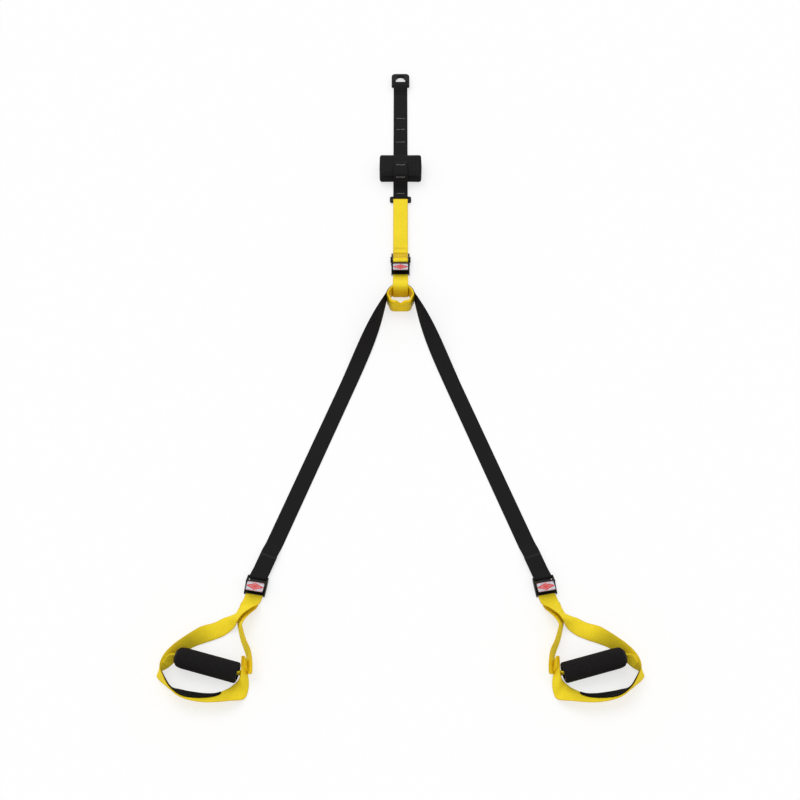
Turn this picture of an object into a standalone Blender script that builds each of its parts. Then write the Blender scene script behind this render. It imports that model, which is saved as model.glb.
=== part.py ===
"""Suspension trainer laid out flat, anchor end towards +Y, face up, metres.

The webbing, the yoke and the handles lie on the plane z = 0.  The left half
(-X) and the right half (+X) mirror each other.
"""
import math

import bmesh
import bpy
from mathutils import Matrix, Vector

# webbing
web_w = 0.038
web_t = 0.002
gap = 0.0003
side_gap = 0.0008
ply = web_t + gap
fold_steps = 6
overrun = 0.004

# anchor end
anchor_end_y = 0.8904
ring_wall = 0.005
ring_w = web_w + 2 * side_gap + 2 * ring_wall
ring_len = 0.0435
ring_depth = 0.011
ring_outer_r = 0.010
ring_inner_r = 0.016
ring_foot_r = 0.003
ring_soft = 0.0012
eye_slack = 0.008
anchor_rise = 0.030

# door pad
pad_w = 0.108
pad_len = 0.0635
pad_h = 0.033
pad_drop = 0.316
pad_corner = 0.008
pad_crown = 0.0035
pad_waist = 0.0025
pad_slot_clear = 0.0006

# link ring
link_w = 0.056
link_len = 0.020
link_r = 0.0026
link_corner = 0.005
link_drop = 0.4434

# upper strap and equaliser strap
upper_len = 0.195
flap_len = 0.026
hem_len = 0.045
tail_len = 0.120
yoke_drop = 0.1058

# yoke
yoke_r = 0.0335
yoke_wall = 0.004
yoke_depth = 0.042
yoke_tail = 0.0235
yoke_foot_w = 0.0550
yoke_foot_r = 0.009
yoke_foot_wall = 0.004
notch_w = 0.022
notch_deep = 0.013
yoke_soft = 0.0006

# legs
leg_turn = math.radians(20.6)
leg_len = 0.7913
twist_len = 0.27
twist_power = 1.7
leg_lay = 0.090
leg_start = 0.008

# cam buckles
buckle_turn = math.radians(10)
plate_thick = 0.003
buckle_head = 0.036
buckle_foot = 0.0195
bar_up = 0.0200
bar_r = 0.0025
guide_down = 0.0175
guide_len = 0.0125
guide_t = 0.0026
base_t = 0.0015
base_up = 0.013
base_down = 0.010
lug_len = 0.015
lug_out = 0.0026
lug_h = 0.009
buckle_h = 0.0155
buckle_soft = 0.0007
pin_up = 0.0085
pin_r = 0.0018
pin_head_r = 0.0032
pin_head_t = 0.0010
cam_r = 0.0062
cam_w = 0.030
tooth_h = 0.0008
teeth = 6
lever_t = 0.0022
lever_len = 0.0245
lever_w = 0.0394
lever_tilt = math.radians(7)
label_w = 0.0375
label_len = 0.0210
label_t = 0.0007
label_inset = 0.0006
spring_wire = 0.0007
spring_turns = 4

# handles
handle_w = 0.190
handle_len = 0.240
loop_steps = 2
lining_w = 0.031
lining_t = 0.0016
grip_r = 0.022
tube_r = 0.0160
tube_wall = 0.0022
tube_extra = 0.0016
grip_soft = 0.004
grip_web_w = 0.025

# The handle strap, from the buckle round the outer leg and the foot cradle to
# the tab beside the grip.  Shares of handle_w, handle_len and web_w, then the
# direction and the rise of the webbing's width in degrees.
strap_shares = (
    (-0.0421, -0.1349, 0.076, 170, 0),
    (-0.0581, -0.1679, 0.225, 170, -12),
    (-0.0821, -0.1979, 0.385, 168, -28),
    (-0.1151, -0.2339, 0.49, 163, -42),
    (-0.1561, -0.2709, 0.51, 152, -53),
    (-0.2121, -0.3039, 0.44, 148, -44),
    (-0.2611, -0.3269, 0.28, 148, -25),
    (-0.3011, -0.3509, 0.15, 147, -9),
    (-0.3461, -0.3759, 0.10, 145, 1),
    (-0.4011, -0.4039, 0.14, 139, 11),
    (-0.4911, -0.4389, 0.28, 129, 27),
    (-0.5811, -0.4769, 0.42, 118, 46),
    (-0.6711, -0.5179, 0.48, 111, 57),
    (-0.7461, -0.5589, 0.49, 113, 60),
    (-0.8281, -0.6139, 0.49, 124, 60),
    (-0.8961, -0.6759, 0.50, 140, 61),
    (-0.9500, -0.7400, 0.515, 160, 74),
    (-1.0050, -0.8080, 0.507, 192, 109),
    (-0.9764, -0.8490, 0.500, 208, 107),
    (-0.9270, -0.8950, 0.510, 222, 97),
    (-0.8750, -0.9400, 0.510, 232, 88),
    (-0.7850, -0.9770, 0.480, 240, 66),
    (-0.6990, -1.0030, 0.445, 253, 55),
    (-0.6000, -1.0200, 0.425, 264, 50),
    (-0.4811, -1.0319, 0.42, 277, 48),
    (-0.3511, -1.0299, 0.42, 288, 46),
    (-0.2350, -1.0060, 0.34, 297, 33),
    (-0.1530, -0.9820, 0.20, 303, 13),
    (-0.1070, -0.9590, 0.16, 299, -7),
    (-0.0610, -0.9090, 0.38, 304, -43),
    (-0.0530, -0.8430, 0.475, 318, -63),
    (-0.0640, -0.7780, 0.500, 322, -72),
    (-0.0735, -0.7100, 0.507, 328, -80),
    (-0.0780, -0.6650, 0.510, 334, -85),
)
# The inner leg, from its foot beside the tab up to its end behind the handle
# strap, in the same shares.
inner_shares = (
    (0.0105, -0.8100, 0.47, 325, 61),
    (0.0060, -0.7800, 0.47, 325, 61),
    (-0.0038, -0.7350, 0.47, 326, 61),
    (-0.0236, -0.6630, 0.475, 325, 61),
    (-0.0501, -0.5980, 0.47, 329, 59),
    (-0.0960, -0.5180, 0.48, 325, 61),
    (-0.1341, -0.4209, 0.49, 321, 63),
    (-0.1491, -0.3709, 0.48, 318, 61),
    (-0.1361, -0.3129, 0.44, 330, 51),
    (-0.1061, -0.2509, 0.315, 343, 33),
    (-0.0781, -0.1939, 0.105, 350, 9),
    (-0.0641, -0.1559, 0.030, 350, 0),
)
lining_first_share = 0.53
lining_last_share = 0.773
lining_tip_share = 0.45
lining_end_share = 0.16
grip_far_shares = (-0.8141, -0.6779, 0.72)
grip_near_shares = (-0.1365, -0.8204, 0.590)

YELLOW = (0.96, 0.75, 0.03)
YELLOW_PLASTIC = (0.93, 0.70, 0.02)
BLACK_WEB = (0.022, 0.019, 0.020)
BLACK_METAL = (0.012, 0.012, 0.012)
BLACK_FOAM = (0.020, 0.018, 0.019)
STEEL = (0.55, 0.55, 0.56)
PALE = (0.78, 0.78, 0.80)
TUBE_GREY = (0.08, 0.08, 0.08)

for old in list(bpy.data.objects):
    bpy.data.objects.remove(old, do_unlink=True)

X_AXIS = Vector((1, 0, 0))
Z_AXIS = Vector((0, 0, 1))


def material(name, colour, rough, metal):
    """A plain Principled material."""
    mat = bpy.data.materials.new(name)
    mat.use_nodes = True
    shader = mat.node_tree.nodes["Principled BSDF"]
    shader.inputs["Base Color"].default_value = (*colour, 1)
    shader.inputs["Roughness"].default_value = rough
    shader.inputs["Metallic"].default_value = metal
    mat.diffuse_color = (*colour, 1)
    return mat


def webbing_material(name, colour):
    return material(name, colour, 0.75, 0)


def add_object(name, mesh, mat, smooth=True):
    """Link one mesh as a named object with its own material."""
    mesh.materials.append(mat)
    obj = bpy.data.objects.new(name, mesh)
    bpy.context.collection.objects.link(obj)
    if smooth:
        mesh.shade_smooth()
        mesh.set_sharp_from_angle(angle=math.radians(40))
    return obj


def mesh_from(name, bm):
    """Finish a bmesh with outward faces and turn it into a mesh."""
    bmesh.ops.recalc_face_normals(bm, faces=bm.faces)
    mesh = bpy.data.meshes.new(name)
    bm.to_mesh(mesh)
    bm.free()
    return mesh


def pivot(name, place, axis):
    """An empty whose X axis lies along a joint's axis."""
    empty = bpy.data.objects.new(name, None)
    empty.empty_display_size = web_w
    turn = X_AXIS.rotation_difference(Vector(axis).normalized())
    empty.matrix_world = Matrix.Translation(place) @ turn.to_matrix().to_4x4()
    bpy.context.collection.objects.link(empty)
    return empty


def hang(obj, empty):
    """Parent without moving the object."""
    bpy.context.view_layer.update()
    world = obj.matrix_world.copy()
    obj.parent = empty
    obj.matrix_parent_inverse = empty.matrix_world.inverted()
    obj.matrix_world = world


def smooth_rows(rows, steps):
    """Catmull-Rom rows between the given ones, spaced by how far apart they lie."""
    knots = [0]
    for one, two in zip(rows, rows[1:]):
        far = math.dist(one[:3], two[:3])
        knots.append(knots[-1] + math.sqrt(far))
    last = len(rows) - 1
    slopes = []
    for i in range(len(rows)):
        low = max(i - 1, 0)
        high = min(i + 1, last)
        if low == i or high == i:
            span = knots[high] - knots[low]
            slopes.append([(b - a) / span for a, b in zip(rows[low], rows[high])])
            continue
        fore = knots[i] - knots[low]
        aft = knots[high] - knots[i]
        slope = []
        for a, b, c in zip(rows[low], rows[i], rows[high]):
            slope.append((aft * (b - a) / fore + fore * (c - b) / aft) / (fore + aft))
        slopes.append(slope)
    out = []
    for i in range(last):
        span = knots[i + 1] - knots[i]
        for k in range(steps):
            t = k / steps
            row = []
            for a, b, m, n in zip(rows[i], rows[i + 1], slopes[i], slopes[i + 1]):
                row.append((2 * t ** 3 - 3 * t * t + 1) * a + (t ** 3 - 2 * t * t + t) * span * m
                           + (3 * t * t - 2 * t ** 3) * b + (t ** 3 - t * t) * span * n)
            out.append(tuple(row))
    out.append(tuple(rows[last]))
    return out


def ramp(first, last, steps):
    """An S-shaped side-view path from one height to another, ends included."""
    out = []
    for k in range(steps + 1):
        t = k / steps
        ease = t * t * (3 - 2 * t)
        out.append((first[0] + (last[0] - first[0]) * t, first[1] + (last[1] - first[1]) * ease))
    return out


def beside(points, step):
    """A side-view path moved square to itself, kept above the floor."""
    out = []
    last = len(points) - 1
    for i, (y, z) in enumerate(points):
        ay, az = points[max(i - 1, 0)]
        by, bz = points[min(i + 1, last)]
        far = math.hypot(by - ay, bz - az)
        out.append((y - step * (bz - az) / far, max(z + step * (by - ay) / far, floor_z)))
    return out


def spans(values):
    """The fore and aft differences of a chain of vectors, as unit tangents."""
    out = []
    last = len(values) - 1
    for i in range(len(values)):
        step = values[min(i + 1, last)] - values[max(i - 1, 0)]
        out.append(step.normalized())
    return out


def band_mesh(name, centres, across, width, thick, closed=False, round_first=False, tangents=None):
    """Webbing through the centres; each across vector points over its width."""
    bm = bmesh.new()
    count = len(centres)
    if closed:
        tangents = [(centres[(i + 1) % count] - centres[i - 1]).normalized() for i in range(count)]
    elif tangents is None:
        tangents = spans(centres)
    rings = []
    for i, (centre, wide, ahead) in enumerate(zip(centres, across, tangents)):
        face = ahead.cross(wide).normalized()
        half = wide * (width / 2)
        rise = face * (thick / 2)
        ring = [bm.verts.new(centre + half + rise), bm.verts.new(centre - half + rise),
                bm.verts.new(centre - half - rise), bm.verts.new(centre + half - rise)]
        rings.append(ring)
    pairs = list(zip(rings, rings[1:]))
    if closed:
        pairs.append((rings[-1], rings[0]))
    for one, two in pairs:
        bm.faces.new((one[0], one[1], two[1]))
        bm.faces.new((one[0], two[1], two[0]))
        bm.faces.new((one[1], one[2], two[2], two[1]))
        bm.faces.new((one[2], one[3], two[2]))
        bm.faces.new((one[3], two[3], two[2]))
        bm.faces.new((one[3], one[0], two[0], two[3]))
    if not closed:
        bm.faces.new(rings[-1])
        if round_first:
            round_end(bm, rings[0], -tangents[0], thick)
        else:
            bm.faces.new(rings[0])
    return mesh_from(name, bm)


def round_end(bm, ring, ahead, thick):
    """A half-round nose on the end of a band."""
    upper = [(ring[0].co + ring[3].co) / 2, (ring[1].co + ring[2].co) / 2]
    side = (ring[0].co - ring[3].co) / 2
    last = ring
    for k in range(1, 4):
        angle = math.pi / 2 * k / 3
        out = ahead * (thick / 2 * math.sin(angle))
        if k < 3:
            rise = side * math.cos(angle)
            new = [bm.verts.new(upper[0] + out + rise), bm.verts.new(upper[1] + out + rise),
                   bm.verts.new(upper[1] + out - rise), bm.verts.new(upper[0] + out - rise)]
            for j in range(4):
                bm.faces.new((last[j], last[(j + 1) % 4], new[(j + 1) % 4], new[j]))
            last = new
        else:
            tip = [bm.verts.new(upper[0] + out), bm.verts.new(upper[1] + out)]
            bm.faces.new((last[0], last[1], tip[1], tip[0]))
            bm.faces.new((last[2], last[3], tip[0], tip[1]))
            bm.faces.new((last[3], last[0], tip[0]))
            bm.faces.new((last[1], last[2], tip[1]))


def arc(cy, cz, r, first, last, steps):
    """Points of an arc in a plane, ends included."""
    out = []
    for k in range(steps + 1):
        angle = first + (last - first) * k / steps
        out.append((cy + r * math.cos(angle), cz + r * math.sin(angle)))
    return out


def upright(points):
    """Side-view (y, z) points as centres on the middle line."""
    return [Vector((0, y, z)) for y, z in points]


def side_band(name, points, mat, closed=False, width=web_w):
    """Webbing that runs in the plane of the middle line."""
    centres = upright(points)
    mesh = band_mesh(name, centres, [X_AXIS] * len(centres), width, web_t, closed)
    return add_object(name, mesh, mat)


def rounded_outline(half_w, low, high, r_low, r_high, steps=6):
    """A rounded rectangle from its lower left corner, counter-clockwise."""
    corners = ((-half_w + r_low, low + r_low, r_low, math.pi),
               (half_w - r_low, low + r_low, r_low, 1.5 * math.pi),
               (half_w - r_high, high - r_high, r_high, 0),
               (-half_w + r_high, high - r_high, r_high, 0.5 * math.pi))
    out = []
    for cx, cy, r, start in corners:
        for k in range(steps + 1):
            angle = start + math.pi / 2 * k / steps
            out.append((cx + r * math.cos(angle), cy + r * math.sin(angle)))
    return out


def hoop_mesh(name, outer, inner, low, tops):
    """A wall between two matching outlines; tops holds its height at each point."""
    bm = bmesh.new()
    count = len(outer)
    rows = []
    for i in range(count):
        ox, oy = outer[i]
        ix, iy = inner[i]
        rows.append([bm.verts.new((ox, oy, low)), bm.verts.new((ox, oy, tops[i])),
                     bm.verts.new((ix, iy, tops[i])), bm.verts.new((ix, iy, low))])
    for i in range(count):
        one = rows[i]
        two = rows[(i + 1) % count]
        for k in range(4):
            bm.faces.new((one[k], one[(k + 1) % 4], two[(k + 1) % 4], two[k]))
    return mesh_from(name, bm)


def soften(obj, width, segments=2, limit=50):
    """A bevel on the sharp edges."""
    bevel = obj.modifiers.new("soft_edges", "BEVEL")
    bevel.width = width
    bevel.segments = segments
    bevel.limit_method = "ANGLE"
    bevel.angle_limit = math.radians(limit)
    return bevel


def prism(name, outline, half, mat=None):
    """A side-view (y, z) outline pushed out to both sides of the middle."""
    bm = bmesh.new()
    ring = [bm.verts.new((-half, y, z)) for y, z in outline]
    face = bm.faces.new(ring)
    pushed = bmesh.ops.extrude_face_region(bm, geom=[face])
    moved = [v for v in pushed["geom"] if isinstance(v, bmesh.types.BMVert)]
    bmesh.ops.translate(bm, vec=(2 * half, 0, 0), verts=moved)
    mesh = mesh_from(name, bm)
    if mat is None:
        mat = material(name, BLACK_METAL, 0.4, 0.6)
    return add_object(name, mesh, mat, smooth=False)


def rod(name, half, r, mat=None, sides=16):
    """A bar along X through the origin."""
    bm = bmesh.new()
    bmesh.ops.create_cone(bm, cap_ends=True, segments=sides, radius1=r, radius2=r, depth=2 * half,
                          matrix=Matrix.Rotation(math.pi / 2, 4, "Y"))
    mesh = mesh_from(name, bm)
    if mat is None:
        mat = material(name, BLACK_METAL, 0.4, 0.6)
    return add_object(name, mesh, mat)


def boolean(obj, other, operation):
    """Apply one exact Boolean and drop the other piece."""
    step = obj.modifiers.new(operation.lower(), "BOOLEAN")
    step.object = other
    step.operation = operation
    step.solver = "EXACT"
    bpy.context.view_layer.update()
    shape = bpy.data.meshes.new_from_object(obj.evaluated_get(bpy.context.evaluated_depsgraph_get()))
    obj.modifiers.clear()
    obj.data = shape
    bpy.data.objects.remove(other, do_unlink=True)


# heights of the webbing layers inside a buckle, from the floor up
running_z = base_t + gap + web_t / 2
hem_z = running_z + ply
main_z = hem_z + ply
flap_z = main_z + ply
wrap_r = bar_r + gap + web_t / 2
top_bar_z = hem_z + wrap_r
floor_z = web_t / 2
second_z = floor_z + ply
link_wrap_r = link_r + gap + web_t / 2
link_z = floor_z + link_wrap_r

# places along the middle line
link_y = anchor_end_y - link_drop
link_top_y = link_y + link_len / 2 - link_r
link_low_y = link_y - link_len / 2 + link_r
pad_y = anchor_end_y - pad_drop - pad_len / 2
upper_bar_y = link_low_y - upper_len
upper_label_y = upper_bar_y - bar_up
yoke_y = upper_label_y - yoke_drop
yoke_low = web_t + gap
frame_inner = lever_w / 2 + gap
cam_z = running_z + web_t / 2 + gap + cam_r + tooth_h
guide_z = running_z + web_t / 2 + gap


def make_anchor():
    """The ring, the sewn loop of black webbing and the cushion on it."""
    ring_low = anchor_end_y - ring_len
    outer = rounded_outline(ring_w / 2, ring_low, anchor_end_y, ring_foot_r, ring_outer_r)
    inner = rounded_outline(ring_w / 2 - ring_wall, ring_low + ring_wall, anchor_end_y - ring_wall,
                            ring_soft, ring_inner_r)
    bottom = web_t + gap
    top = bottom + ring_depth
    mesh = hoop_mesh("anchor_ring", outer, inner, bottom, [top] * len(outer))
    ring = add_object("anchor_ring", mesh, material("anchor_ring", BLACK_METAL, 0.35, 0.7))
    soften(ring, ring_soft)
    ring_pivot = pivot("anchor_ring_axis", (0, ring_low + ring_wall / 2, bottom + ring_depth / 2), X_AXIS)
    hang(ring, ring_pivot)

    over = top + gap + web_t / 2
    eye_r = (over - floor_z) / 2
    eye_y = ring_low + ring_wall + eye_slack - eye_r
    eye = arc(eye_y, floor_z + eye_r, eye_r, math.pi / 2, -math.pi / 2, 2 * fold_steps)
    pad_top = pad_y + pad_len / 2
    pad_low = pad_y - pad_len / 2
    face = pad_h + pad_crown + gap + web_t / 2
    turn = arc(link_top_y, link_z, link_wrap_r, -math.pi / 2, -1.5 * math.pi, fold_steps)
    climb = ramp((pad_low - web_w * 0.5, second_z), (pad_low + web_w * 0.14, face), 7)
    sink = ramp((pad_y - pad_len * 0.02, face), (pad_top + web_w * 0.45, second_z), 9)
    front = [(link_top_y + anchor_rise * 0.6, second_z)] + climb + sink
    back = beside(front, -ply)
    eye_lead = ramp((ring_low - anchor_rise, second_z), (ring_low, over), 5) + [(eye_y, over)]
    over_bar = [(link_top_y + anchor_rise * 0.22, link_z + link_wrap_r * 0.72)]
    line = turn + over_bar + front + eye_lead[:-1] + eye + [(ring_low - anchor_rise, floor_z)] + back[::-1]
    strap = side_band("anchor_strap", line, webbing_material("anchor_strap", BLACK_WEB), closed=True)

    make_pad(front, back)
    link = make_link()
    return ring, strap, link


def make_pad(front, back):
    """A crowned cushion with a slanting slot for the strap."""
    bm = bmesh.new()
    levels = ((0, -pad_waist), (0.12, -pad_waist * 0.2), (0.3, 0), (0.7, 0), (0.88, -pad_waist * 0.2),
              (1.0, -pad_waist))
    rings = []
    for share, inset in levels:
        outline = rounded_outline(pad_w / 2 + inset, pad_y - pad_len / 2 - inset, pad_y + pad_len / 2 + inset,
                                  pad_corner, pad_corner, 4)
        rings.append([bm.verts.new((x, y, pad_h * share)) for x, y in outline])
    for one, two in zip(rings, rings[1:]):
        for k in range(len(one)):
            n = (k + 1) % len(one)
            bm.faces.new((one[k], one[n], two[n], two[k]))
    bm.faces.new(rings[0])
    last = rings[-1]
    for share, rise in ((0.8, 0.55), (0.5, 0.9)):
        new = []
        for v in last:
            mid = Vector((0, pad_y, pad_h))
            base = rings[-1][last.index(v)].co
            spot = mid + (Vector((base.x, base.y, pad_h)) - mid) * share
            new.append(bm.verts.new((spot.x, spot.y, pad_h + pad_crown * rise)))
        for k in range(len(last)):
            n = (k + 1) % len(last)
            bm.faces.new((last[k], last[n], new[n], new[k]))
        last = new
    top = bm.verts.new((0, pad_y, pad_h + pad_crown))
    for k in range(len(last)):
        bm.faces.new((last[k], last[(k + 1) % len(last)], top))
    pad = add_object("door_pad", mesh_from("door_pad", bm), material("door_pad", BLACK_WEB, 0.8, 0))
    middle = [((y0 + y1) / 2, (z0 + z1) / 2) for (y0, z0), (y1, z1) in zip(front, back)]
    centres = upright(middle)
    slot = band_mesh("pad_slot", centres, [X_AXIS] * len(centres), web_w + 2 * pad_slot_clear,
                     2 * web_t + gap + 4 * pad_slot_clear)
    boolean(pad, add_object("pad_slot", slot, material("pad_slot", BLACK_WEB, 0.8, 0)), "DIFFERENCE")
    return pad


def make_link():
    """The rectangular wire ring between the black and the yellow webbing."""
    half = link_w / 2 - link_r
    outline = rounded_outline(half, link_low_y, link_top_y, link_corner, link_corner, 4)
    curve = bpy.data.curves.new("link_ring", "CURVE")
    curve.dimensions = "3D"
    curve.bevel_depth = link_r
    curve.bevel_resolution = 2
    spline = curve.splines.new("POLY")
    spline.points.add(len(outline) - 1)
    for point, (x, y) in zip(spline.points, outline):
        point.co = (x, y, link_z, 1)
    spline.use_cyclic_u = True
    curve.materials.append(material("link_ring", BLACK_METAL, 0.35, 0.7))
    link = bpy.data.objects.new("link_ring", curve)
    bpy.context.collection.objects.link(link)
    hang(link, pivot("link_axis", (0, link_top_y, link_z), X_AXIS))
    return link


def make_upper_strap():
    """Yellow webbing: front flap, round the link ring, round the buckle's bar."""
    low = upper_bar_y
    ring_top = link_z + link_wrap_r
    ring_low = link_z - link_wrap_r
    rise = web_w * 0.9
    join = link_low_y - link_wrap_r
    flap_end = low + flap_len
    front = [(flap_end, flap_z)] + ramp((join - rise, flap_z), (link_low_y - gap, ring_top), 6)
    wrap = arc(link_low_y, link_z, link_wrap_r, math.pi / 2, -math.pi / 2, fold_steps)
    run = ramp((link_low_y - gap, ring_low), (join - rise, main_z), 6)
    run += ramp((low + 3.2 * wrap_r, main_z), (low + gap, top_bar_z + wrap_r), 4)
    bar = arc(low, top_bar_z, wrap_r, math.pi * 0.5, math.pi * 1.5, fold_steps)
    hem = [(low + hem_len / 2, hem_z), (low + hem_len, hem_z)]
    line = front[:-1] + wrap + run[1:-1] + bar + hem
    strap = side_band("upper_strap", line, webbing_material("upper_strap", YELLOW))
    hang(strap, pivot("upper_strap_axis", (0, link_low_y, link_z), X_AXIS))
    return strap


def make_equaliser_strap():
    """The running webbing: tail, through the cam, over the yoke and back."""
    low = upper_label_y
    crest = yoke_low + yoke_depth + gap + web_t / 2
    arch = yoke_y + math.sqrt((yoke_r - yoke_wall) ** 2 - (web_w / 2) ** 2)
    inside = arch - gap - web_t / 2
    outside = yoke_y + yoke_r + ply
    start = low - buckle_foot - gap
    points = [(upper_bar_y + tail_len, running_z), (low, running_z), (start, running_z)]
    climb = smooth_rows([(start, running_z), (start - web_w * 0.12, running_z + yoke_depth * 0.04),
                         (outside + (start - outside) * 0.55, crest * 0.36),
                         (outside + (start - outside) * 0.22, crest * 0.72),
                         (outside + web_t * 0.6, crest * 0.95), (outside - yoke_wall, crest + web_t * 0.15),
                         (inside + web_t * 0.9, crest + web_t * 0.05)], 3)
    drop = [(inside + web_t * 0.15, crest - web_t * 0.35), (inside, crest - web_t * 1.3), (inside, crest * 0.5),
            (inside, floor_z + web_t * 1.6), (inside + web_t * 0.1, floor_z + web_t * 0.3),
            (inside + web_t * 0.6, floor_z), (outside, floor_z), (start - web_w * 0.45, floor_z)]
    line = points[:-1] + climb + drop
    strap = side_band("equaliser_strap", line, webbing_material("equaliser_strap", YELLOW))
    hang(strap, pivot("equaliser_axis", (0, upper_label_y, running_z), (0, -1, 0)))
    return strap


def yoke_outline(wall):
    """The arch, the tapering sides and the flat foot, inset by the wall."""
    r = yoke_r - wall
    foot = yoke_y - yoke_tail + wall * yoke_foot_wall / yoke_wall
    half = yoke_foot_w / 2 - wall
    corner = max(yoke_foot_r - wall, wall / 4)
    out = []
    arch_steps = 24
    for k in range(arch_steps + 1):
        angle = math.pi * k / arch_steps
        out.append((r * math.cos(angle), yoke_y + r * math.sin(angle)))
    for cx, start in ((-half + corner, math.pi), (half - corner, 1.5 * math.pi)):
        for k in range(7):
            angle = start + math.pi / 2 * k / 6
            out.append((cx + corner * math.cos(angle), foot + corner + corner * math.sin(angle)))
        if cx < 0:
            for share in (-0.5, -0.22, 0, 0.22, 0.5):
                out.append((notch_w * share, foot))
    return out


def make_yoke():
    """The moulded band that the leg webbing runs round."""
    outer = yoke_outline(0)
    inner = yoke_outline(yoke_wall)
    top = yoke_low + yoke_depth
    tops = []
    for x, y in outer:
        cut = max(0, 1 - abs(x) / (notch_w / 2)) if y < yoke_y else 0
        tops.append(top - notch_deep * cut)
    mesh = hoop_mesh("yoke", outer, inner, yoke_low, tops)
    yoke = add_object("yoke", mesh, material("yoke", YELLOW_PLASTIC, 0.4, 0))
    soften(yoke, yoke_soft)
    centre = pivot("yoke_axis", (0, yoke_y, yoke_low), Z_AXIS)
    hang(yoke, centre)
    saddle_r = yoke_r + gap + web_t / 2
    leave = leg_turn + saddle_stop() / saddle_r
    steps = 22
    centres = []
    for k in range(steps + 1):
        angle = leave + (math.pi - 2 * leave) * k / steps
        centres.append(Vector((saddle_r * math.cos(angle), yoke_y + saddle_r * math.sin(angle), edge_z())))
    mesh = band_mesh("saddle_strap", centres, [Z_AXIS] * len(centres), web_w, web_t)
    saddle = add_object("saddle_strap", mesh, webbing_material("saddle_strap", BLACK_WEB))
    hang(saddle, centre)
    return yoke, saddle


def edge_z():
    """Height of the middle of the webbing that stands on its edge by the yoke."""
    return yoke_low + yoke_depth / 2


def saddle_stop():
    """How far the saddle ends before the leg's pivot."""
    return web_t / 2 + gap


def leg_place(side):
    """Where the webbing leaves the yoke, and the way that it runs."""
    r = yoke_r + gap + web_t / 2
    spot = Vector((side * r * math.cos(leg_turn), yoke_y + r * math.sin(leg_turn), edge_z()))
    way = Vector((side * math.sin(leg_turn), -math.cos(leg_turn), 0))
    return spot, way


def buckle_place(side):
    """The middle of a leg buckle's face, and the way up its axis."""
    spot, way = leg_place(side)
    axis = Vector((-side * math.sin(buckle_turn), math.cos(buckle_turn), 0))
    bar = spot + way * leg_len
    return Vector((bar.x, bar.y, 0)) - axis * bar_up, axis


def make_leg(side, word):
    """Black webbing: on edge at the yoke, flat on the floor, hemmed on a bar."""
    spot, way = leg_place(side)
    label, axis = buckle_place(side)
    outward = Vector((side * math.cos(leg_turn), math.sin(leg_turn), 0))
    flat = Vector((side * axis.y, -side * axis.x, 0))
    lay_from = leg_len - leg_lay
    runs = [0, 0.012, 0.03]
    runs += [twist_len * k / 12 for k in range(2, 13)]
    runs += [twist_len + (lay_from - twist_len) * k / 8 for k in range(1, 9)]
    centres = []
    across = []
    for run in runs:
        left = min(1, max(0, 1 - (run - leg_start) / (twist_len - leg_start)))
        tilt = math.pi / 2 * left ** twist_power
        lift = web_w / 2 * math.sin(tilt) + floor_z * math.cos(tilt)
        lift += (edge_z() - web_w / 2) * left
        centres.append(Vector((spot.x, spot.y, lift)) + way * run)
        across.append(outward * math.cos(tilt) + Z_AXIS * math.sin(tilt))
    # over the tail, over the bar and back under itself
    bar = label + axis * bar_up
    clear = buckle_head - bar_up + 2 * web_t
    enter = Vector((bar.x, bar.y, 0)) + axis * clear
    start = centres[-1]
    climb = 0.42
    for k in range(1, 8):
        share = k / 7
        lift = min(1, share / climb)
        spot_on = start.lerp(enter, share)
        centres.append(Vector((spot_on.x, spot_on.y, floor_z + (main_z - floor_z) * lift * lift * (3 - 2 * lift))))
        across.append(outward.lerp(flat, share ** 3).normalized())
    for y, z in arc(0, top_bar_z, wrap_r, math.pi * 0.42, math.pi * 1.5, fold_steps + 1):
        centres.append(Vector((bar.x, bar.y, z)) + axis * y)
        across.append(flat.copy())
    centres.append(Vector((enter.x, enter.y, hem_z)))
    across.append(flat.copy())
    for share in (0.3, 0.55):
        back = enter.lerp(start, share)
        centres.append(Vector((back.x, back.y, hem_z)))
        across.append(flat.lerp(outward, share).normalized())
    name = "leg_strap_" + word
    mesh = band_mesh(name, centres, across, web_w, web_t, round_first=True)
    leg = add_object(name, mesh, webbing_material(name, BLACK_WEB))
    hang(leg, pivot("leg_axis_" + word, spot, Z_AXIS))
    return leg


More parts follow.
